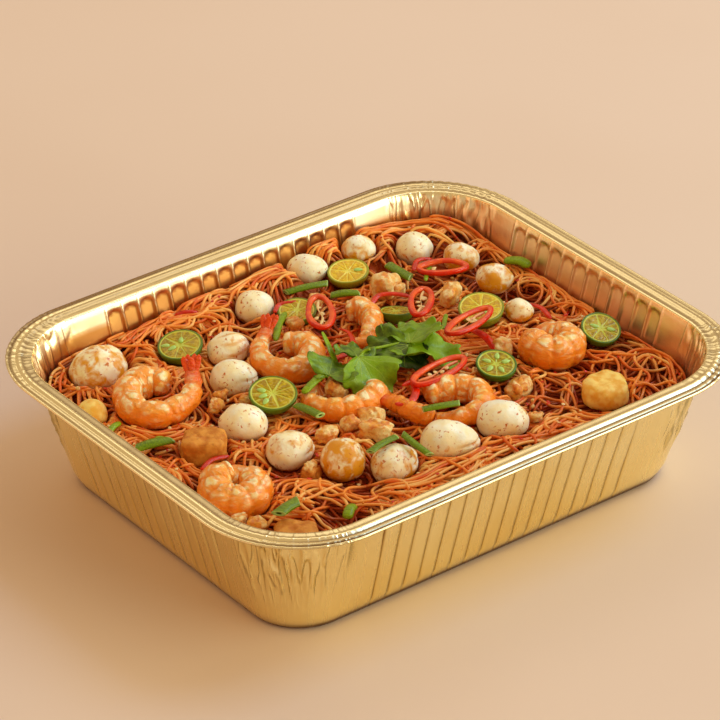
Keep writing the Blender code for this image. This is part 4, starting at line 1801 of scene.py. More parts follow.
@dataclass(frozen=True)
class Prawn:
    """A peeled cooked prawn.

    A round section is carried along its curled middle line. It swells from the cut head end, tapers to
    the tail, bulges in each of its segments, and its orange bands run over the back and between segments.
    """

    node: str
    line: tuple[Point, ...]
    radius: float
    tail: float = 0.0
    tail_rise: float = 0.3
    blush: float = 0.0
    sauce: float = 0.30
    taper: float = 0.48
    segments: int = 6
    bulge: float = 0.055
    groove: float = 0.07
    unevenness: float = 0.16
    spacing: float = 0.62
    columns: int = 36

    def frame_of(self, line: Array) -> tuple[Array, Array, float]:
        """The way ahead, the level direction to the side, and the sign that makes it the back's side.

        Args:
            line: The middle line.

        Returns:
            The two directions at each point, and the sign.
        """
        way = unit(np.gradient(line, axis=0))
        side = unit(np.cross(way, [0.0, 0.0, 1.0]))
        outward = np.sign(((line - line.mean(0)) * side).sum(-1).mean())
        return way, side, float(outward) or 1.0

    def body(self) -> Shape:
        """The body, from the head end to the root of the tail.

        Returns:
            A closed solid.
        """
        line = spline(np.array(self.line), self.spacing)
        _, _, back_sign = self.frame_of(line)
        share = np.linspace(0, 1, len(line))[:, None]
        width = self.radius * (0.76 + 0.24 * smooth(share, 0, 0.14)) * (1 - self.taper * share**1.6)
        width = width * np.sqrt(1 - (1 - np.minimum(share / 0.035, 1)) ** 2 * 0.75)
        bead = np.clip((share - 0.10) / 0.80, 0, 1) * self.segments
        part = bead - np.floor(bead)
        width = width * (1 + self.bulge * np.sin(np.pi * part) ** 0.8)
        turn = bearings(self.columns)
        up, back = np.cos(turn) + 0 * share, back_sign * np.sin(turn) + 0 * share
        groove = np.exp(-((np.minimum(part, 1 - part) / 0.10) ** 2)) * (share > 0.06) * (share < 0.93)
        ridge = np.exp(-(((back - 0.45) / 0.16) ** 2)) * smooth(up, -0.2, 0.3)
        reach = 1 - self.groove * groove - 0.03 * ridge - 0.10 * smooth(-back, 0.3, 1.0)
        reach = reach - 0.10 * np.exp(-(((back + 1) / 0.12) ** 2))
        flat = 1 - 0.42 * smooth(share, 0.72, 1.0)
        section = together(width * reach * np.cos(turn) * flat, width * reach * np.sin(turn))
        grid, along = tube(line, section)
        grid = grid + self.unevenness * unit(grid - line[:, None]) * waves(grid, 4.5, 31)[..., None]
        band = 0.80 * smooth(back, 0.35, 1.0) + 0.36 * groove + 0.22 * ridge + 0.35 * smooth(share, 0.6, 0.95)
        band = np.clip(band + self.blush - 0.10 * smooth(up, 0.3, 1.0), 0, 1.2)
        red = 0.85 * smooth(share, 0.84, 0.98) * (self.tail > 0)
        place = together(along[:, None], width * up, width * back)
        sauce = self.sauce + 0.25 * smooth(-up, -0.2, 0.8)
        return solid(grid, band=band, tail=red, body=place, sauce=sauce)

    def fan(self) -> list[Shape]:
        """The tail fan: four blades and a short spike, each at its spread, length and lean from FAN.

        Returns:
            One closed solid to each blade.
        """
        line = spline(np.array(self.line), self.spacing)
        way, side, _ = self.frame_of(line)
        ahead, across = unit(way[-4] + [0, 0, self.tail_rise]), side[-4]
        over = np.cross(across, ahead)
        shapes = []
        for spread, reach, lean in FAN:
            way_out = unit(ahead * np.cos(spread) + across * np.sin(spread))
            share = np.linspace(0, 1, 14)
            root = line[-5] + across * spread * self.radius * 0.5 + over * lean
            blade = root + way_out * (share * self.tail * reach)[:, None]
            blade = blade + over * (0.12 * self.tail * share**2 * (0.6 + lean))[:, None]
            wide = self.tail * 0.17 * (0.6 + 0.4 * share) * np.sqrt(np.clip(1 - share**6, 0.02, 1))
            thick = 1.1 * (1 - 0.7 * share)
            section = circle(14) * together(thick, wide)[:, None]
            grid, along = tube(blade, section, over)
            place = together(along[:, None], grid[..., 0], grid[..., 1])
            shapes.append(solid(grid, band=1.0, tail=1.0, body=place, sauce=0.1))
        return shapes

    def shape(self) -> Shape:
        """The prawn, with its tail fan where it keeps one."""
        return join([self.body()] + (self.fan() if self.tail > 0 else []))


def curl(x: float, y: float, start: float, lean: float) -> tuple[Point, ...]:
    """Middle line of a prawn curled into a ball: a full turn and a little more, drawing in.

    Args:
        x: Middle of the ball.
        y: Middle of the ball.
        start: Bearing of the head end, in degrees.
        lean: How much higher the back of the ball is, a share of the distance back.

    Returns:
        Points from the head to the tail.
    """
    share = np.linspace(0, 1, 12)
    bearing = np.radians(start + 368 * share)
    reach = 9.4 - 0.4 * share
    across, back = reach * np.cos(bearing), reach * np.sin(bearing)
    lift = 57.0 + lean * (0.6 * across + 0.8 * back) - 1.5 * share
    return tuple(map(tuple, together(x + across, y + back, lift)))


PRAWNS = (
    Prawn(
        "prawn_1",
        ((-88, 55, 57), (-91, 63, 57), (-103, 64, 57), (-112, 54, 57), (-113, 43, 56))
        + ((-107, 36, 56), (-98, 35, 56), (-88, 37, 57), (-80, 44, 59), (-75, 51, 61)),
        *(8.8, 13.0),
    ),
    Prawn(
        "prawn_2",
        ((-18, 50, 58), (-11, 45, 58), (-11, 35, 57), (-20, 27, 57), (-29, 27, 57))
        + ((-35, 34, 57), (-36, 43, 58), (-31, 52, 59), (-24, 58, 60), (-19, 62, 61)),
        *(8.0, 12.0),
    ),
    Prawn(
        "prawn_3",
        ((28, 56, 58), (34, 52, 59), (34, 43, 58), (27, 34, 58), (18, 28, 57), (13, 31, 57)),
        *(7.2, 0, 0, 0.15),
    ),
    Prawn(
        "prawn_4",
        ((-6, -10, 57), (-12, -19, 57), (-22, -21, 57), (-32, -18, 57))
        + ((-39, -11, 57), (-39, -1, 57), (-32, 6, 57)),
        7.8,
    ),
    Prawn(
        "prawn_5",
        ((10, -34, 58), (19, -35, 58), (27, -39, 58), (32, -47, 58))
        + ((29, -56, 57), (20, -60, 56), (10, -58, 56), (2, -52, 56)),
        *(7.6, 0, 0, 0.25),
    ),
    Prawn("prawn_6", curl(-117, -44, 60, 0.22), 9.6, taper=0.12, sauce=0.36, segments=7),
    Prawn("prawn_7", curl(94, -33, 112, 0.0), 9.4, 12.0, 0.2, taper=0.16, sauce=0.40, segments=7),
    Prawn(
        "prawn_8",
        ((2, -51, 56), (-4, -43, 57), (-7, -33, 58), (-11, -25, 59)),
        *(5.2, 9.0, 0.1, 0.6, 0.4, 0.2),
    ),
)


@dataclass(frozen=True)
class CitrusHalf(Numbered):
    """A small citrus half: a bowl of rind under a cut face of wedges between pale membranes.

    The section is turned about the fruit's axis. On the face a point's distance to the nearest membrane
    sets how far it sinks and how pale it is.
    """

    kind = "citrus_half_{}"
    ripe: float
    wedges: int
    seeds: tuple[tuple[float, float], ...]
    turn: float = 0.0
    star: float = 0.9
    membrane: float = 0.26
    sink: float = 0.28
    columns: int = 126

    def shape(self) -> Shape:
        """The half in its place, with its seeds.

        Returns:
            The rind, the cut face and the seeds, joined.
        """
        place = Place.of(self.node, flat=True)
        radius, depth = place.half[:2].mean(), 2 * place.half[2]
        bowl = np.linspace(-TURN / 4 + 0.06, 0, 18)
        lip = np.array([radius, 0]) + [(-0.10, 0.25), (-0.45, 0.42), (-0.9, 0.32), (-1.3, 0.1)]
        inner = together(np.linspace(radius - 1.6, 0.15, 30), 0.0)
        run = np.concatenate([[radius, depth] * polar(bowl), lip, inner])
        angle = bearings(self.columns)
        far, lift = run[:, :1] + 0 * angle, run[:, 1:]
        face = smooth(np.arange(len(run))[:, None], 19.0, 22.0)
        bent = angle + 0.16 * np.sin(2 * angle + self.turn) + 0.10 * np.sin(3 * angle + 2 * self.turn)
        share = self.wedges * bent / TURN + self.turn
        off = np.abs(share - np.round(share)) * TURN / self.wedges * far
        heart = self.star * np.exp(-far / 2.2)
        line = np.exp(-((off / (self.membrane + heart)) ** 2))
        skin_side = smooth(far, radius - 2.3, radius - 1.5)
        pith = np.clip(np.maximum(line, skin_side) + np.exp(-((far / 0.9) ** 2)), 0, 1) * face
        pulp = waves(polar(angle, far, far), 2.0, self.number)
        lift = lift + face * (self.sink * (1 - pith) + 0.10 * pulp * (1 - pith) - 0.25 * np.exp(-far / 1.6))
        round_rind = together(far, *5 * circle(self.columns).T)
        lift = lift + (1 - face) * 0.12 * waves(round_rind, 5.0, 7)
        squash = 1 + 0.03 * np.sin(2 * angle + self.turn * 3)
        grid = polar(angle, far * squash, lift)
        ray = polar(bent, 4, far / 3.5)
        rind = 1 - face
        shapes = [solid(grid, pith=pith, rind=rind, ray=ray, ripe=self.ripe)]
        for bearing, reach in self.seeds:
            seed = pip(2.4, 1.35, 0.75, seed=int(10 * bearing) + self.number)
            axes = turned(bearing, (0, 0, 1.0), 0.0)
            seed = seed.placed(axes, polar(bearing, reach * radius, 0.35))
            shapes.append(seed.marked(seed=1, ripe=self.ripe))
        return join(shapes).placed(place.axes, place.centre + place.axes[2] * place.half[2])


def pip(
    length: float, width: float, thickness: float, seed: int = 0, rows: int = 12, columns: int = 14
) -> Shape:
    """A seed: an ellipsoid with one end drawn to a point, and a little uneven.

    Args:
        length: Half length, along x.
        width: Half width, along y.
        thickness: Half thickness, along z.
        seed: Seed of its unevenness.
        rows: Rings from end to end.
        columns: Points round a ring.

    Returns:
        The seed, about its own middle.
    """
    angle = np.linspace(0.1, np.pi - 0.1, rows)[:, None]
    turn = bearings(columns)
    reach = np.sin(angle) * (1 + 0.25 * np.cos(angle))
    grid = together(-length * np.cos(angle), width * reach * np.cos(turn), thickness * reach * np.sin(turn))
    grid = grid * (1 + 0.05 * waves(grid, 2.5 * length, seed))[..., None]
    return solid(grid)


CITRUS = (
    CitrusHalf(1, 0.12, 9, ((2.6, 0.42), (2.0, 0.62), (0.3, 0.30)), 0.2, 1.2),
    CitrusHalf(2, 0.18, 10, ((2.9, 0.45), (2.2, 0.50), (3.5, 0.58)), 1.1, 0.9),
    CitrusHalf(3, 0.85, 9, ((0.4, 0.5),), 2.0, 0.6),
    CitrusHalf(4, 0.35, 9, (), 0.5, 0.7),
    CitrusHalf(5, 0.10, 9, (), 1.7, 0.7),
    CitrusHalf(6, 0.55, 9, ((4.0, 0.4),), 2.6, 0.8),
    CitrusHalf(7, 0.0, 8, ((0.6, 0.50), (1.8, 0.52), (3.1, 0.50), (4.3, 0.52), (5.5, 0.5)), 0.9, 0.7),
    CitrusHalf(8, 0.10, 8, ((0.9, 0.48), (3.9, 0.35)), 3.3, 1.5),
)


def puffed(
    half: Array, power: float, level: float, seed: int, dents: tuple[float, float], rows: int = 42
) -> Shape:
    """A fried block or disc with softened edges and a dented skin.

    Each direction is stretched until x and y, joined by the level power, and z, joined to them by the
    other, reach the block's face; waves of two sizes then dent it.

    Args:
        half: Half sizes.
        power: How square it is from the side.
        level: How square it is from above: 2 is round.
        seed: Seed of the dents.
        dents: Depth of the large and the small dents.
        rows: Rings from the bottom to the top.

    Returns:
        The block about its own middle, with "brown" high along its edges.
    """
    columns = int(rows * 1.5)
    angle = np.linspace(-TURN / 4 + 0.03, TURN / 4 - 0.03, rows)[:, None]
    turn = bearings(columns)
    way = together(np.cos(angle) * np.cos(turn), np.cos(angle) * np.sin(turn), np.sin(angle))
    flat = (np.abs(way[..., 0]) ** level + np.abs(way[..., 1]) ** level) ** (1 / level)
    reach = (flat**power + np.abs(way[..., 2]) ** power) ** (-1 / power)
    grid = way * reach[..., None]
    parts = np.sort(np.abs(grid), axis=-1)
    edge = smooth(parts[..., 1] if level > 2 else np.minimum(flat * reach, np.abs(grid[..., 2])), 0.70, 0.97)
    grid = grid * half
    size = half.min()
    dent = dents[0] * waves(grid, 1.3 * size + 2, seed) + dents[1] * waves(grid, 0.45 * size + 0.8, seed + 1)
    grid = grid + unit(grid) * dent[..., None]
    return solid(grid, brown=0.35 * edge, sauce=0.15)


@dataclass(frozen=True)
class Fried:
    """A fried or boiled block, disc or ball that stands for a CAD node."""

    node: str
    finish: Food
    slot: Slot
    power: float = 5.0
    level: float = 5.0
    dents: tuple[float, float] = (0.45, 0.2)
    sauce: float = 0.15

    def shape(self) -> Shape:
        """The block in its place.

        Returns:
            A closed solid.
        """
        place = Place.of(self.node)
        seed = sum(ord(letter) for letter in self.node)
        block = puffed(place.half, self.power, self.level, seed, self.dents)
        return block.marked(sauce=self.sauce).placed(place.axes, place.centre)


@dataclass(frozen=True)
class ChilliRing(Numbered):
    """A slice of red chilli: a wall round an oval opening, with its core and seeds."""

    kind = "chilli_{}"
    seeds: int
    core: float
    wall: float = 3.3
    squareness: float = 3.2
    rows: int = 84
    columns: int = 14

    def shape(self) -> Shape:
        """The ring in its place.

        Returns:
            The flesh, the ribs and the seeds, joined.
        """
        place = Place.of(self.node, flat=True)
        long, wide, thick = place.half
        rng = np.random.default_rng(300 + self.number)
        angle = bearings(self.rows)
        wave = 0.5 * np.sin(2 * angle + rng.uniform(0, TURN))
        wave = wave + 0.35 * np.sin(3 * angle + rng.uniform(0, TURN))
        reach = together(long - self.wall / 2 + 0.4 * wave, wide - self.wall / 2 + 0.5 * wave)
        line = np.column_stack([reach * polar(angle), 0.5 * wave])
        out = unit(polar(angle, 1.0, 0.0) / [long, wide, 1.0])
        upward, outward = circle(self.columns, self.squareness).T
        wall = self.wall * (1 + 0.12 * np.sin(3 * angle + 1))[:, None]
        grid = line[:, None] + (wall / 2 * outward)[..., None] * out[:, None]
        grid = grid + (thick * upward)[:, None] * np.array([0, 0, 1.0])
        skin = smooth(np.sin(bearings(self.columns)), 0.15, 0.75)
        shapes = [surface(grid, closed=True, skin=skin, pale=0.0)]
        for _ in range(self.seeds):
            bearing, share = rng.uniform(0, TURN), rng.uniform(0.2, 0.62)
            spot = np.array([long - self.wall, wide - self.wall, 0]) * polar(bearing, share, 0.0)
            spin = rng.uniform(0, TURN)
            axes = turned(spin, (0.2, 0, 1.0), 0.0)
            seed = pip(1.5, 1.15, 0.45).placed(axes, spot + [0, 0, -0.5 * thick])
            shapes.append(seed.marked(pale=1))
        if self.core > 0:
            strip = spline([long, wide] * np.array([(-0.75, 0.15), (-0.3, -0.1), (0.25, 0.1), (0.7, 0)]), 1.0)
            strip = np.column_stack([strip, np.full(len(strip), -0.4 * thick)])
            width = 0.55 + 0.35 * np.sin(np.linspace(0, 9, len(strip)))
            ribs, _ = tube(strip, circle(8) * width[:, None, None])
            shapes.append(solid(ribs, pale=self.core, skin=0.0))
        return join(shapes).placed(place.axes, place.centre)


CHILLI = tuple(ChilliRing(*row) for row in ((1, 4, 0.8), (2, 6, 0.6), (3, 5, 0.5), (4, 4, 0.45), (5, 2, 0.0)))


def stalk(start: Array, end: Array, radius: float, tone: float, seed: int, hollow: float = 0.42) -> Shape:
    """A cut length of hollow spring onion.

    Its flattened round section is carried out along a slightly bent line and back inside, and its two
    ends are cut at a slant.

    Args:
        start: Middle of one end.
        end: Middle of the other.
        radius: Outer radius.
        tone: From bright at 0 to dark at 1.
        seed: Seed of its bend and slant.
        hollow: The hollow's radius as a share of the outer one.

    Returns:
        The stalk, in the frame.
    """
    rng = np.random.default_rng(seed)
    way = unit(end - start)
    side = unit(np.cross(way, [0, 0, 1.0]))
    over = np.cross(side, way)
    length = float(np.linalg.norm(end - start))
    share = np.linspace(0, 1, 18)
    bend = np.sin(np.pi * share) * length * rng.uniform(-0.05, 0.05)
    sag = np.sin(np.pi * share) * length * rng.uniform(0.0, 0.04)
    line = start + (end - start) * share[:, None] + side * bend[:, None] + over * sag[:, None]
    turn = circle(18)
    slant = rng.uniform(-0.7, 0.7, 2)
    grids = []
    for reach in (1.0, hollow):
        pinch = 1 - 0.10 * np.cos(TURN * share)[:, None]
        tall = radius * reach * 0.56 * pinch * turn[:, 0] * (1 + 0.04 * np.cos(5 * bearings(18)))
        wide = radius * reach * 1.08 * turn[:, 1]
        grid, along = tube(line, together(tall, wide), over)
        tilt = (slant[0] * (1 - share)[:, None] ** 3 + slant[1] * share[:, None] ** 3) * wide
        grids.append(grid + tilt[..., None] * way)
    grid = np.concatenate([grids[0], grids[1][::-1]])
    run = np.concatenate([along, along[::-1]])
    cut = np.exp(-np.minimum(run, length - run) / 0.35)[:, None] * 0.9
    place = together(run[:, None], 3 * turn[:, 0], 3 * turn[:, 1])
    # The hollow's inner face is painted darker: painted shade inside the hollow.
    inside = np.concatenate([np.zeros(len(share)), np.full(len(share), 0.25)])[:, None]
    return surface(grid, closed=True, stalk=place, cut=cut, tone=tone + inside)


@dataclass(frozen=True)
class OnionLength(Numbered):
    """A cut length of spring onion that stands for a CAD node."""

    kind = "spring_onion_{}"
    tone: float = 0.62

    def shape(self) -> Shape:
        """The length in its place.

        Returns:
            A hollow stalk.
        """
        place = Place.of(self.node)
        reach = place.axes[0] * place.half[0]
        radius = float(place.half[1:].mean())
        return stalk(place.centre - reach, place.centre + reach, radius, self.tone, self.number)


ONIONS = tuple(OnionLength(number) for number in range(1, 10))


def leaf(size: float, lobes: int, fan: float, seed: int, fold: float = 0.25) -> Shape:
    """One flat herb leaf that grows along x from its root.

    Its edge is a fan of lobes with small teeth, worked out by bearing from the root. The blade folds up
    along its middle and waves towards its edge, and veins run from the root out into the lobes.

    Args:
        size: Length of the leaf.
        lobes: Number of main lobes.
        fan: Bearing of the outermost lobes, in radians.
        seed: Seed of its unevenness.
        fold: How far its sides fold up.

    Returns:
        The leaf as a thin sheet that faces up, with its root at the middle.
    """
    rng = np.random.default_rng(seed)
    angle = np.linspace(fan + 0.95, -fan - 0.95, 121)
    share = np.linspace(0.02, 1, 22)[:, None]
    mids = np.linspace(-fan, fan, lobes) if lobes > 1 else np.zeros(1)
    off = (angle[None] - mids[:, None]) / (fan / max(lobes - 1, 1))
    size_of = 1 - 0.14 * np.abs(mids) + rng.uniform(-0.05, 0.05, lobes)
    edge = np.max(size_of[:, None] * (1 - 0.11 * np.clip(np.abs(off), 0, 2.6) ** 2.2), axis=0)
    edge = np.maximum(edge, 0.12) * (0.91 + 0.09 * np.abs(np.sin(angle * 10.0 + seed)) ** 0.8)
    far = size * edge * share
    vein = np.zeros(far.shape)
    for mid in mids:
        for fork, wide, weight in ((0.0, 0.20, 1.0), (-0.28, 0.13, 0.7), (0.28, 0.13, 0.7)):
            ray = mid + fork * smooth(share, 0.1, 1.0)
            line = np.exp(-((far * (angle - ray) / wide) ** 2)) * (1 - 0.5 * share)
            vein = np.maximum(vein, weight * line * (smooth(share, 0.15, 0.4) if fork else 1.0))
    x, y = far * np.cos(angle), far * np.sin(angle) * (1.0 if lobes > 1 else 0.5)
    lift = fold * np.abs(y) ** 1.3 / size**0.3 - 0.22 * x**2 / size
    lift = lift + 0.10 * size * share**2 * waves(together(x, y, 0.0), 0.45 * size, seed)
    grid = together(x, y, lift - 0.12 * vein)
    return surface(grid, around=False, vein=vein, tone=0.35)


@dataclass(frozen=True)
class LeafLay:
    """How one leaf lies: its root, its heading, rise and roll in degrees, its size, lobes and tone."""

    root: Point
    heading: float
    rise: float
    roll: float
    size: float
    lobes: int
    fan: float
    tone: float

    def shape(self, seed: int) -> Shape:
        """The leaf in its place.

        Args:
            seed: Seed of its unevenness.

        Returns:
            The leaf.
        """
        ahead, across = toward(self.heading, self.rise), toward(self.heading + 90, 0)
        over, roll = np.cross(ahead, across), np.radians(self.roll)
        axes = np.stack(
            [ahead, across * np.cos(roll) + over * np.sin(roll), over * np.cos(roll) - across * np.sin(roll)]
        )
        made = leaf(self.size, self.lobes, self.fan, seed).marked(tone=self.tone)
        return made.placed(axes, np.array(self.root))


@dataclass(frozen=True)
class Sprig:
    """A sprig of coriander laid over the middle: leaves on thin stems."""

    leaves: tuple[LeafLay, ...] = (
        LeafLay((-25.5, 0.8, 66.0), 22, 4, 12, 18, 4, 1.15, 0.40),
        LeafLay((-5.3, 1.5, 69.0), 265, -26, 0, 25, 5, 0.85, 0.14),
        LeafLay((23.6, -2.4, 67.0), 148, 2, -14, 23, 4, 0.75, 0.62),
        LeafLay((24.8, -1.8, 68.0), 41, 12, -8, 22, 4, 0.90, 0.24),
        LeafLay((24.6, -2.9, 66.5), -42, -6, 8, 26, 1, 1.30, 0.10),
        LeafLay((-5.3, 1.5, 67.5), 74, 8, 10, 17, 3, 0.75, 0.52),
        LeafLay((-25.5, 0.8, 65.5), 118, -4, 8, 9, 3, 0.9, 0.50),
        LeafLay((19.5, -3.7, 64.0), 285, -8, 0, 15, 3, 0.9, 0.95),
    )
    stems: tuple[tuple[Point, ...], ...] = (
        ((-16, -2, 63), (-8, 2, 66), (2, 5.5, 68), (12, 4, 67.5), (22, 2, 67), (26, 0, 66.5)),
        ((-2, 5, 67.6), (1, 5, 68.6), (3, 3.5, 69.6)),
    )
    thickness: float = 0.26

    def add(self, leaf_finish: Material, stem_finish: Material) -> None:
        """Add the leaves, which get their thickness, and the stems.

        Args:
            leaf_finish: Material of the leaves.
            stem_finish: Material of the stems.
        """
        shapes = [lay.shape(60 + number) for number, lay in enumerate(self.leaves)]
        piece = add_piece("coriander_leaves", join(shapes), leaf_finish, Slot.GREEN)
        thicken(piece, "leaf thickness", self.thickness)
        stems = []
        for points in self.stems:
            line = spline(np.array(points, float), 0.8)
            grid, along = tube(line, circle(10) * 0.75)
            turn = circle(10)
            place = together(along[:, None], turn[:, 0], turn[:, 1])
            stems.append(solid(grid, stalk=place, cut=0.0, tone=0.3))
        add_piece("coriander_stems", join(stems), stem_finish, Slot.GREEN)


@dataclass(frozen=True)
class Strip:
    """A thin cut strip of chilli or green: its line, its width and thickness, and its twist in turns."""

    points: tuple[Point, ...]
    width: float
    thickness: float
    twist: float = 0.0
    lean: float = 0.0

    def shape(self, **values: float) -> Shape:
        """The strip: a rounded flat section along its line, narrowed at both ends, with a skin side.

        Args:
            values: Values that are the same all over it.

        Returns:
            The strip in its place.
        """
        line = spline(np.array(self.points, float), 0.7)
        share = np.linspace(0, 1, len(line))[:, None]
        narrow = np.sqrt(np.clip(1 - np.abs(2 * share - 1) ** 6, 0.03, 1))
        turn, square = circle(16), circle(16, 3.0)
        tall = self.thickness / 2 * square[:, 0] * narrow - 0.25 * self.thickness * square[:, 1] ** 2
        wide = self.width / 2 * square[:, 1] * narrow
        angle = TURN * self.twist * share + np.radians(self.lean)
        section = polar(angle, tall) + polar(angle + TURN / 4, wide)
        grid, along = tube(line, section)
        place = together(along[:, None], *2 * turn.T)
        return solid(grid, skin=smooth(turn[:, 0], -0.2, 0.3), stalk=place, **values)


RED_STRIPS = (
    Strip(
        ((-7, -30, 61), (-9, -36, 61), (-3, -38, 61.5), (4, -33, 62), (8, -25, 62), (2, -24, 61.5)),
        *(4.2, 1.4),
    ),
    Strip(((40, 50, 61), (48, 54, 62), (56, 50, 62), (62, 44, 61)), 3.4, 1.3),
    Strip(((-44, 110, 57), (-38, 108, 58), (-32, 105, 57)), 3.0, 1.2),
    Strip(((113, 8, 55), (114, -1, 56), (112, -11, 55)), 3.0, 1.2),
    Strip(((71, 8, 56), (71, -6, 57), (68, -19, 56)), 4.0, 1.4, 0.1),
    Strip(((-118, -16, 54), (-109, -13, 55), (-99, -14, 54)), 3.0, 1.2),
    Strip(((-7, 20, 59), (6, 22, 60), (14, 34, 60), (14, 44, 59)), 3.6, 1.3, 0.15),
    Strip(((84, 70, 57), (92, 76, 58), (100, 74, 57)), 3.0, 1.2),
    Strip(((-1, 80, 57), (6, 84, 58), (15, 80, 58)), 3.0, 1.2),
)
GREEN_STRIPS = (
    Strip(((-15, 8, 65.5), (-13, 16, 70), (-11, 25, 75)), 4.6, 1.0, 0.05, 30.0),
    Strip(((-43, 0, 62.5), (-33, 2.5, 65), (-24, 4.3, 66)), 4.4, 2.0),
    Strip(((1, 73, 60), (-10, 64, 61), (-20.5, 53, 60)), 4.0, 1.8),
    Strip(((-13, 53, 60), (-9, 48, 60.5), (-6, 43, 60)), 4.0, 1.4),
    Strip(((-88, -95, 54.5), (-83, -91, 56), (-78, -88, 54.5)), 5.4, 2.4),
    Strip(((-122, 18, 55), (-119, 19, 55.5), (-116, 18, 55)), 3.0, 1.5),
    Strip(((-137, 38, 55), (-131, 41, 56), (-125, 43.5, 55)), 3.6, 1.6),
    Strip(((132, 52, 55), (136, 44, 57), (138, 37, 56)), 7.0, 2.6),
    Strip(((78, 52, 61), (84, 58, 62), (90, 62, 61)), 2.4, 1.0),
    Strip(((53, 6, 62), (58, 11, 63), (63, 16, 63)), 2.6, 1.0),
)


@dataclass(frozen=True)
class Crumb:
    """A small fried bit: its middle, its length, width and height, and its turn in degrees."""

    centre: Point
    size: Point
    turn: float

    def shape(self, seed: int) -> Shape:
        """The bit in its place.

        Args:
            seed: Seed of its dents.

        Returns:
            The bit.
        """
        block = puffed(np.array(self.size) / 2, 3.0, 3.0, seed, (0.8, 0.35), 22)
        turn = np.radians(self.turn)
        axes = turned(turn, (0.1, -0.1, 1.0), 0.1)
        return block.marked(sauce=0.6).placed(axes, np.array(self.centre))


CRUMBS = (
    Crumb((-78, 27, 55), (9, 6, 5), 40),
    Crumb((-62, 21, 55), (9, 6, 5), -30),
    Crumb((24, 76, 57), (9, 7, 6), 20),
    Crumb((-124, 63, 50), (8, 6, 5), 70),
    Crumb((-36, -31, 57), (10, 7, 7), 10),
    Crumb((66, 60, 57), (8, 6, 6), -20),
    Crumb((-75, -48, 54), (8, 6, 5), 30),
    Crumb((24, -101, 52), (8, 6, 5), 0),
    Crumb((56, -52, 54), (9, 6, 5), 50),
    Crumb((0, 63, 58), (7, 10, 6), -15),
    Crumb((45, -78, 53), (8, 6, 5), -40),
    Crumb((-70, 33, 55), (7, 5, 5), 0),
    Crumb((-124, -70, 53), (10, 6, 5), -40),
    Crumb((-128, -62, 53), (8, 6, 5), 20),
    Crumb((83, 37, 58), (16, 9, 8), 30),
    Crumb((38, -4, 58), (14, 10, 8), -60),
)


@dataclass
class Scatter:
    """Chilli flakes, crushed crumbs and seeds that lie on the noodles."""

    heap: NoodleHeap
    flakes: int = 300
    crumbs: int = 80
    seeds: int = 50
    seed: int = 77

    def lie(self, bits: list[Shape], rng: np.random.Generator) -> Shape:
        """Lay each bit at a drawn place on the noodles, turned and tipped at random.

        Args:
            bits: The bits, each about its own middle.
            rng: The draw.

        Returns:
            All of them as one shape.
        """
        laid = []
        for bit in bits:
            spot = rng.uniform(-1, 1, 2) * [self.heap.half_length - 5, self.heap.half_width - 5]
            spot = self.heap.held(spot[None])[0]
            lift = self.heap.top[self.heap.cells(spot[None])][0]
            spin, tip = rng.uniform(0, TURN), rng.uniform(-0.5, 0.5, 2)
            ahead = unit(polar(spin, 1.0, tip[0]))
            over = unit(np.cross(ahead, unit(polar(spin + TURN / 4, 1.0, tip[1]))))
            axes = np.stack([ahead, np.cross(over, ahead), over])
            laid.append(bit.placed(axes, np.array([*spot, lift + 0.1])))
        return join(laid)

    def add(self, chilli: Material, crumb: Material) -> None:
        """Add one piece for each kind of bit.

        Args:
            chilli: Material of the flakes and seeds.
            crumb: Material of the crumbs.
        """
        rng = np.random.default_rng(self.seed)
        flakes = []
        for number in range(self.flakes):
            size = rng.uniform(0.5, 1.5)
            flakes.append(pip(size, size * rng.uniform(0.4, 0.9), 0.18, number, 7, 9).marked(skin=1, pale=0))
        flakes += [pip(1.1, 0.9, 0.35, number, 8, 10).marked(skin=0, pale=1) for number in range(self.seeds)]
        add_piece("chilli_flakes", self.lie(flakes, rng), chilli, Slot.CHILLI)
        sizes = [rng.uniform(0.5, 1.4, 3) for _ in range(self.crumbs)]
        crumbs = [puffed(size, 3.0, 3.0, number, (0.15, 0.1), 8) for number, size in enumerate(sizes)]
        add_piece("fried_crumbs", self.lie(crumbs, rng), crumb, Slot.TOFU)


# --- Camera and studio -------------------------------------------------


def stand(
    name: str, data: bpy.types.ID, way: Array, distance: float, target: Point = (0, 0, 0)
) -> bpy.types.Object:
    """Add a camera or a lamp that looks at a target from a direction and a distance in metres.

    Args:
        name: Its name.
        data: Its camera or light.
        way: Direction from the target to it.
        distance: Distance from the target.
        target: The point that it looks at.

    Returns:
        The new object.
    """
    made = bpy.data.objects.new(name, data)
    made.location = Vector(target) + Vector(way) * distance
    made.rotation_euler = Vector(way).to_track_quat("Z", "Y").to_euler()
    bpy.context.scene.collection.objects.link(made)
    return made


@dataclass(frozen=True)
class Viewpoint:
    """The camera: the point it looks at, its bearing and height in degrees, its distance and its lens."""

    target: Point = (0.0266, 0.0423, 0.0357)
    bearing: float = -127.79
    elevation: float = 31.24
    distance: float = 2.131
    lens: float = 203.2

    def add(self) -> None:
        """Add the camera and look through it."""
        data = bpy.data.cameras.new("camera")
        data.lens = self.lens
        data.clip_end = 50.0
        way = toward(self.bearing, self.elevation)
        bpy.context.scene.camera = stand("camera", data, way, self.distance, self.target)


@dataclass(frozen=True)
class Lamp:
    """A soft light panel: its bearing and height in degrees, distance, width and height, power and tint."""

    name: str
    bearing: float
    elevation: float
    distance: float
    panel: tuple[float, float]
    power: float
    tint: Colour

    def add(self) -> None:
        """Add the light, turned to the tray."""
        data = bpy.data.lights.new(self.name, "AREA")
        data.shape, data.energy, data.color = "RECTANGLE", self.power, self.tint
        data.size, data.size_y = self.panel
        stand(self.name, data, toward(self.bearing, self.elevation), self.distance)


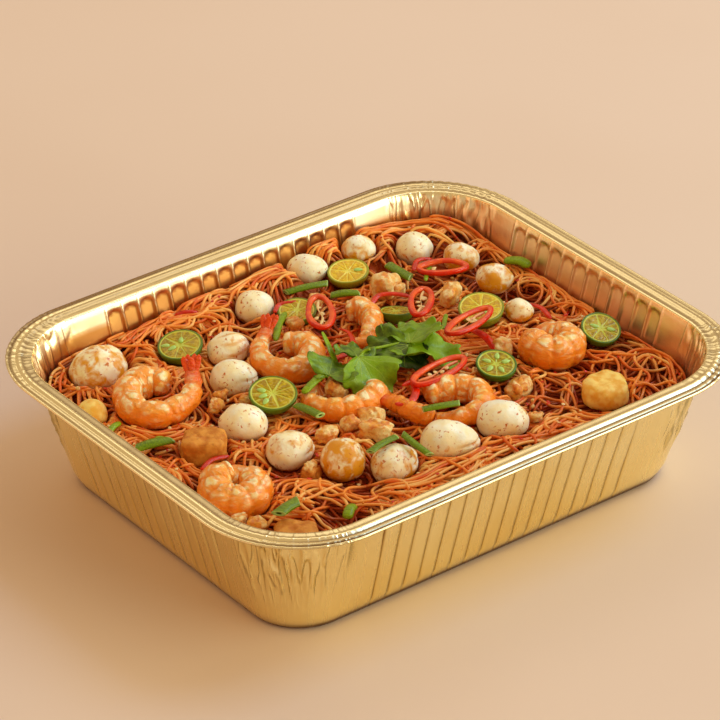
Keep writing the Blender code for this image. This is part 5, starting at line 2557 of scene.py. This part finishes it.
@dataclass(frozen=True)
class Studio:
    """A pale peach tabletop under soft light, mostly from the right."""

    floor_half: float = 4.0
    sky: Colour = (1.0, 0.74, 0.48)
    sky_strength: float = 0.60
    lamps: tuple[Lamp, ...] = (
        Lamp("key_light", -15.0, 50.0, 2.4, (1.0, 1.0), 23.0, (0.30, 0.55, 1.0)),
        Lamp("side_panel", -50.0, 14.0, 3.4, (4.0, 1.6), 94.0, (0.93, 1.0, 0.82)),
        Lamp("upper_panel", 45.0, 51.0, 2.2, (2.6, 0.95), 8.0, (1.0, 0.97, 0.90)),
        Lamp("left_panel", 160.0, 14.0, 3.4, (4.0, 1.6), 13.0, (1.0, 0.38, 0.19)),
    )

    def add(self) -> None:
        """Add the tabletop, the sky light and the lamps."""
        half = self.floor_half / MM
        axis = np.linspace(-half, half, 3)
        grid = together(axis[:, None], axis[::-1], 0.0)
        made = surface(grid, around=False)
        mesh = bpy.data.meshes.new("tabletop")
        mesh.from_pydata((made.points * MM).tolist(), [], made.quads.tolist())
        mesh.materials.append(Tabletop().material())
        floor = bpy.data.objects.new("tabletop", mesh)
        bpy.context.scene.collection.objects.link(floor)
        world = bpy.context.scene.world or bpy.data.worlds.new("studio")
        bpy.context.scene.world = world
        world.use_nodes = True
        sky = next(node for node in world.node_tree.nodes if node.type == "BACKGROUND")
        sky.inputs["Color"].default_value = (*self.sky, 1.0)
        sky.inputs["Strength"].default_value = self.sky_strength
        for lamp in self.lamps:
            lamp.add()
        bpy.context.scene.view_settings.view_transform = "Standard"


FRIED = (
    *(Fried(f"tofu_puff_{n}", FRIED_TOFU, Slot.TOFU, 5.0, 5.0, (0.6, 0.25)) for n in range(1, 4)),
    *(Fried(f"tofu_dice_{n}", TOFU_CRUMB, Slot.TOFU, 3.6, 3.6, (0.7, 0.3), 0.55) for n in range(1, 8)),
    Fried("fish_cake", FISH_PASTE, Slot.FISH, 4.0, 2.0, (0.5, 0.2), 0.1),
    Fried("fish_ball", FISH_PASTE, Slot.FISH, 2.0, 2.0, (0.12, 0.04), 0.3),
)


def main() -> None:
    """Build the toppings, the tray, the noodles under them, the garnish, the camera and the studio."""
    logging.basicConfig(level=logging.INFO, format="%(message)s")
    fried = {food.name: food.material() for food in (FRIED_TOFU, TOFU_CRUMB, FISH_PASTE)}
    chilli, green = ChilliSkin().material(), GreenStalk().material()
    rows: list[tuple] = [(f"quail_{egg.node}", egg, EggWhite, Slot.EGG) for egg in EGGS]
    rows += [(f"cooked_{one.node}", one, PrawnFlesh, Slot.PRAWN) for one in PRAWNS]
    rows += [(f"cut_{half.node}", half, CitrusFruit, Slot.CITRUS) for half in CITRUS]
    rows += [(f"fried_{block.node}", block, fried[block.finish.name], block.slot) for block in FRIED]
    rows += [(f"sliced_{ring.node}", ring, chilli, Slot.CHILLI) for ring in CHILLI]
    rows += [(f"cut_{length.node}", length, green, Slot.GREEN) for length in ONIONS]
    fresh = {finish: finish().material() for finish in (EggWhite, PrawnFlesh, CitrusFruit)}
    toppings: list[Shape] = []
    for name, one, finish, slot in rows:
        toppings.append(one.shape())
        add_piece(name, toppings[-1], fresh.get(finish, finish), slot, one.node)
    loose = (
        ("fried_bits", [bit.shape(200 + n) for n, bit in enumerate(CRUMBS)], fried["tofu_dice"], Slot.TOFU),
        ("chilli_strips", [strip.shape(pale=0.0) for strip in RED_STRIPS], chilli, Slot.CHILLI),
        ("green_strips", [strip.shape(cut=0.0, tone=0.4) for strip in GREEN_STRIPS], green, Slot.GREEN),
    )
    for name, bits, finish, slot in loose:
        toppings.append(join(bits))
        add_piece(name, toppings[-1], finish, slot)
    tray = FoilTray()
    tray.add()
    heap = NoodleHeap(tray, toppings)
    heap.add()
    Sprig().add(HerbLeaf().material(), green)
    Scatter(heap).add(chilli, fried["tofu_dice"])
    Viewpoint().add()
    Studio().add()


if __name__ == "__main__":
    main()
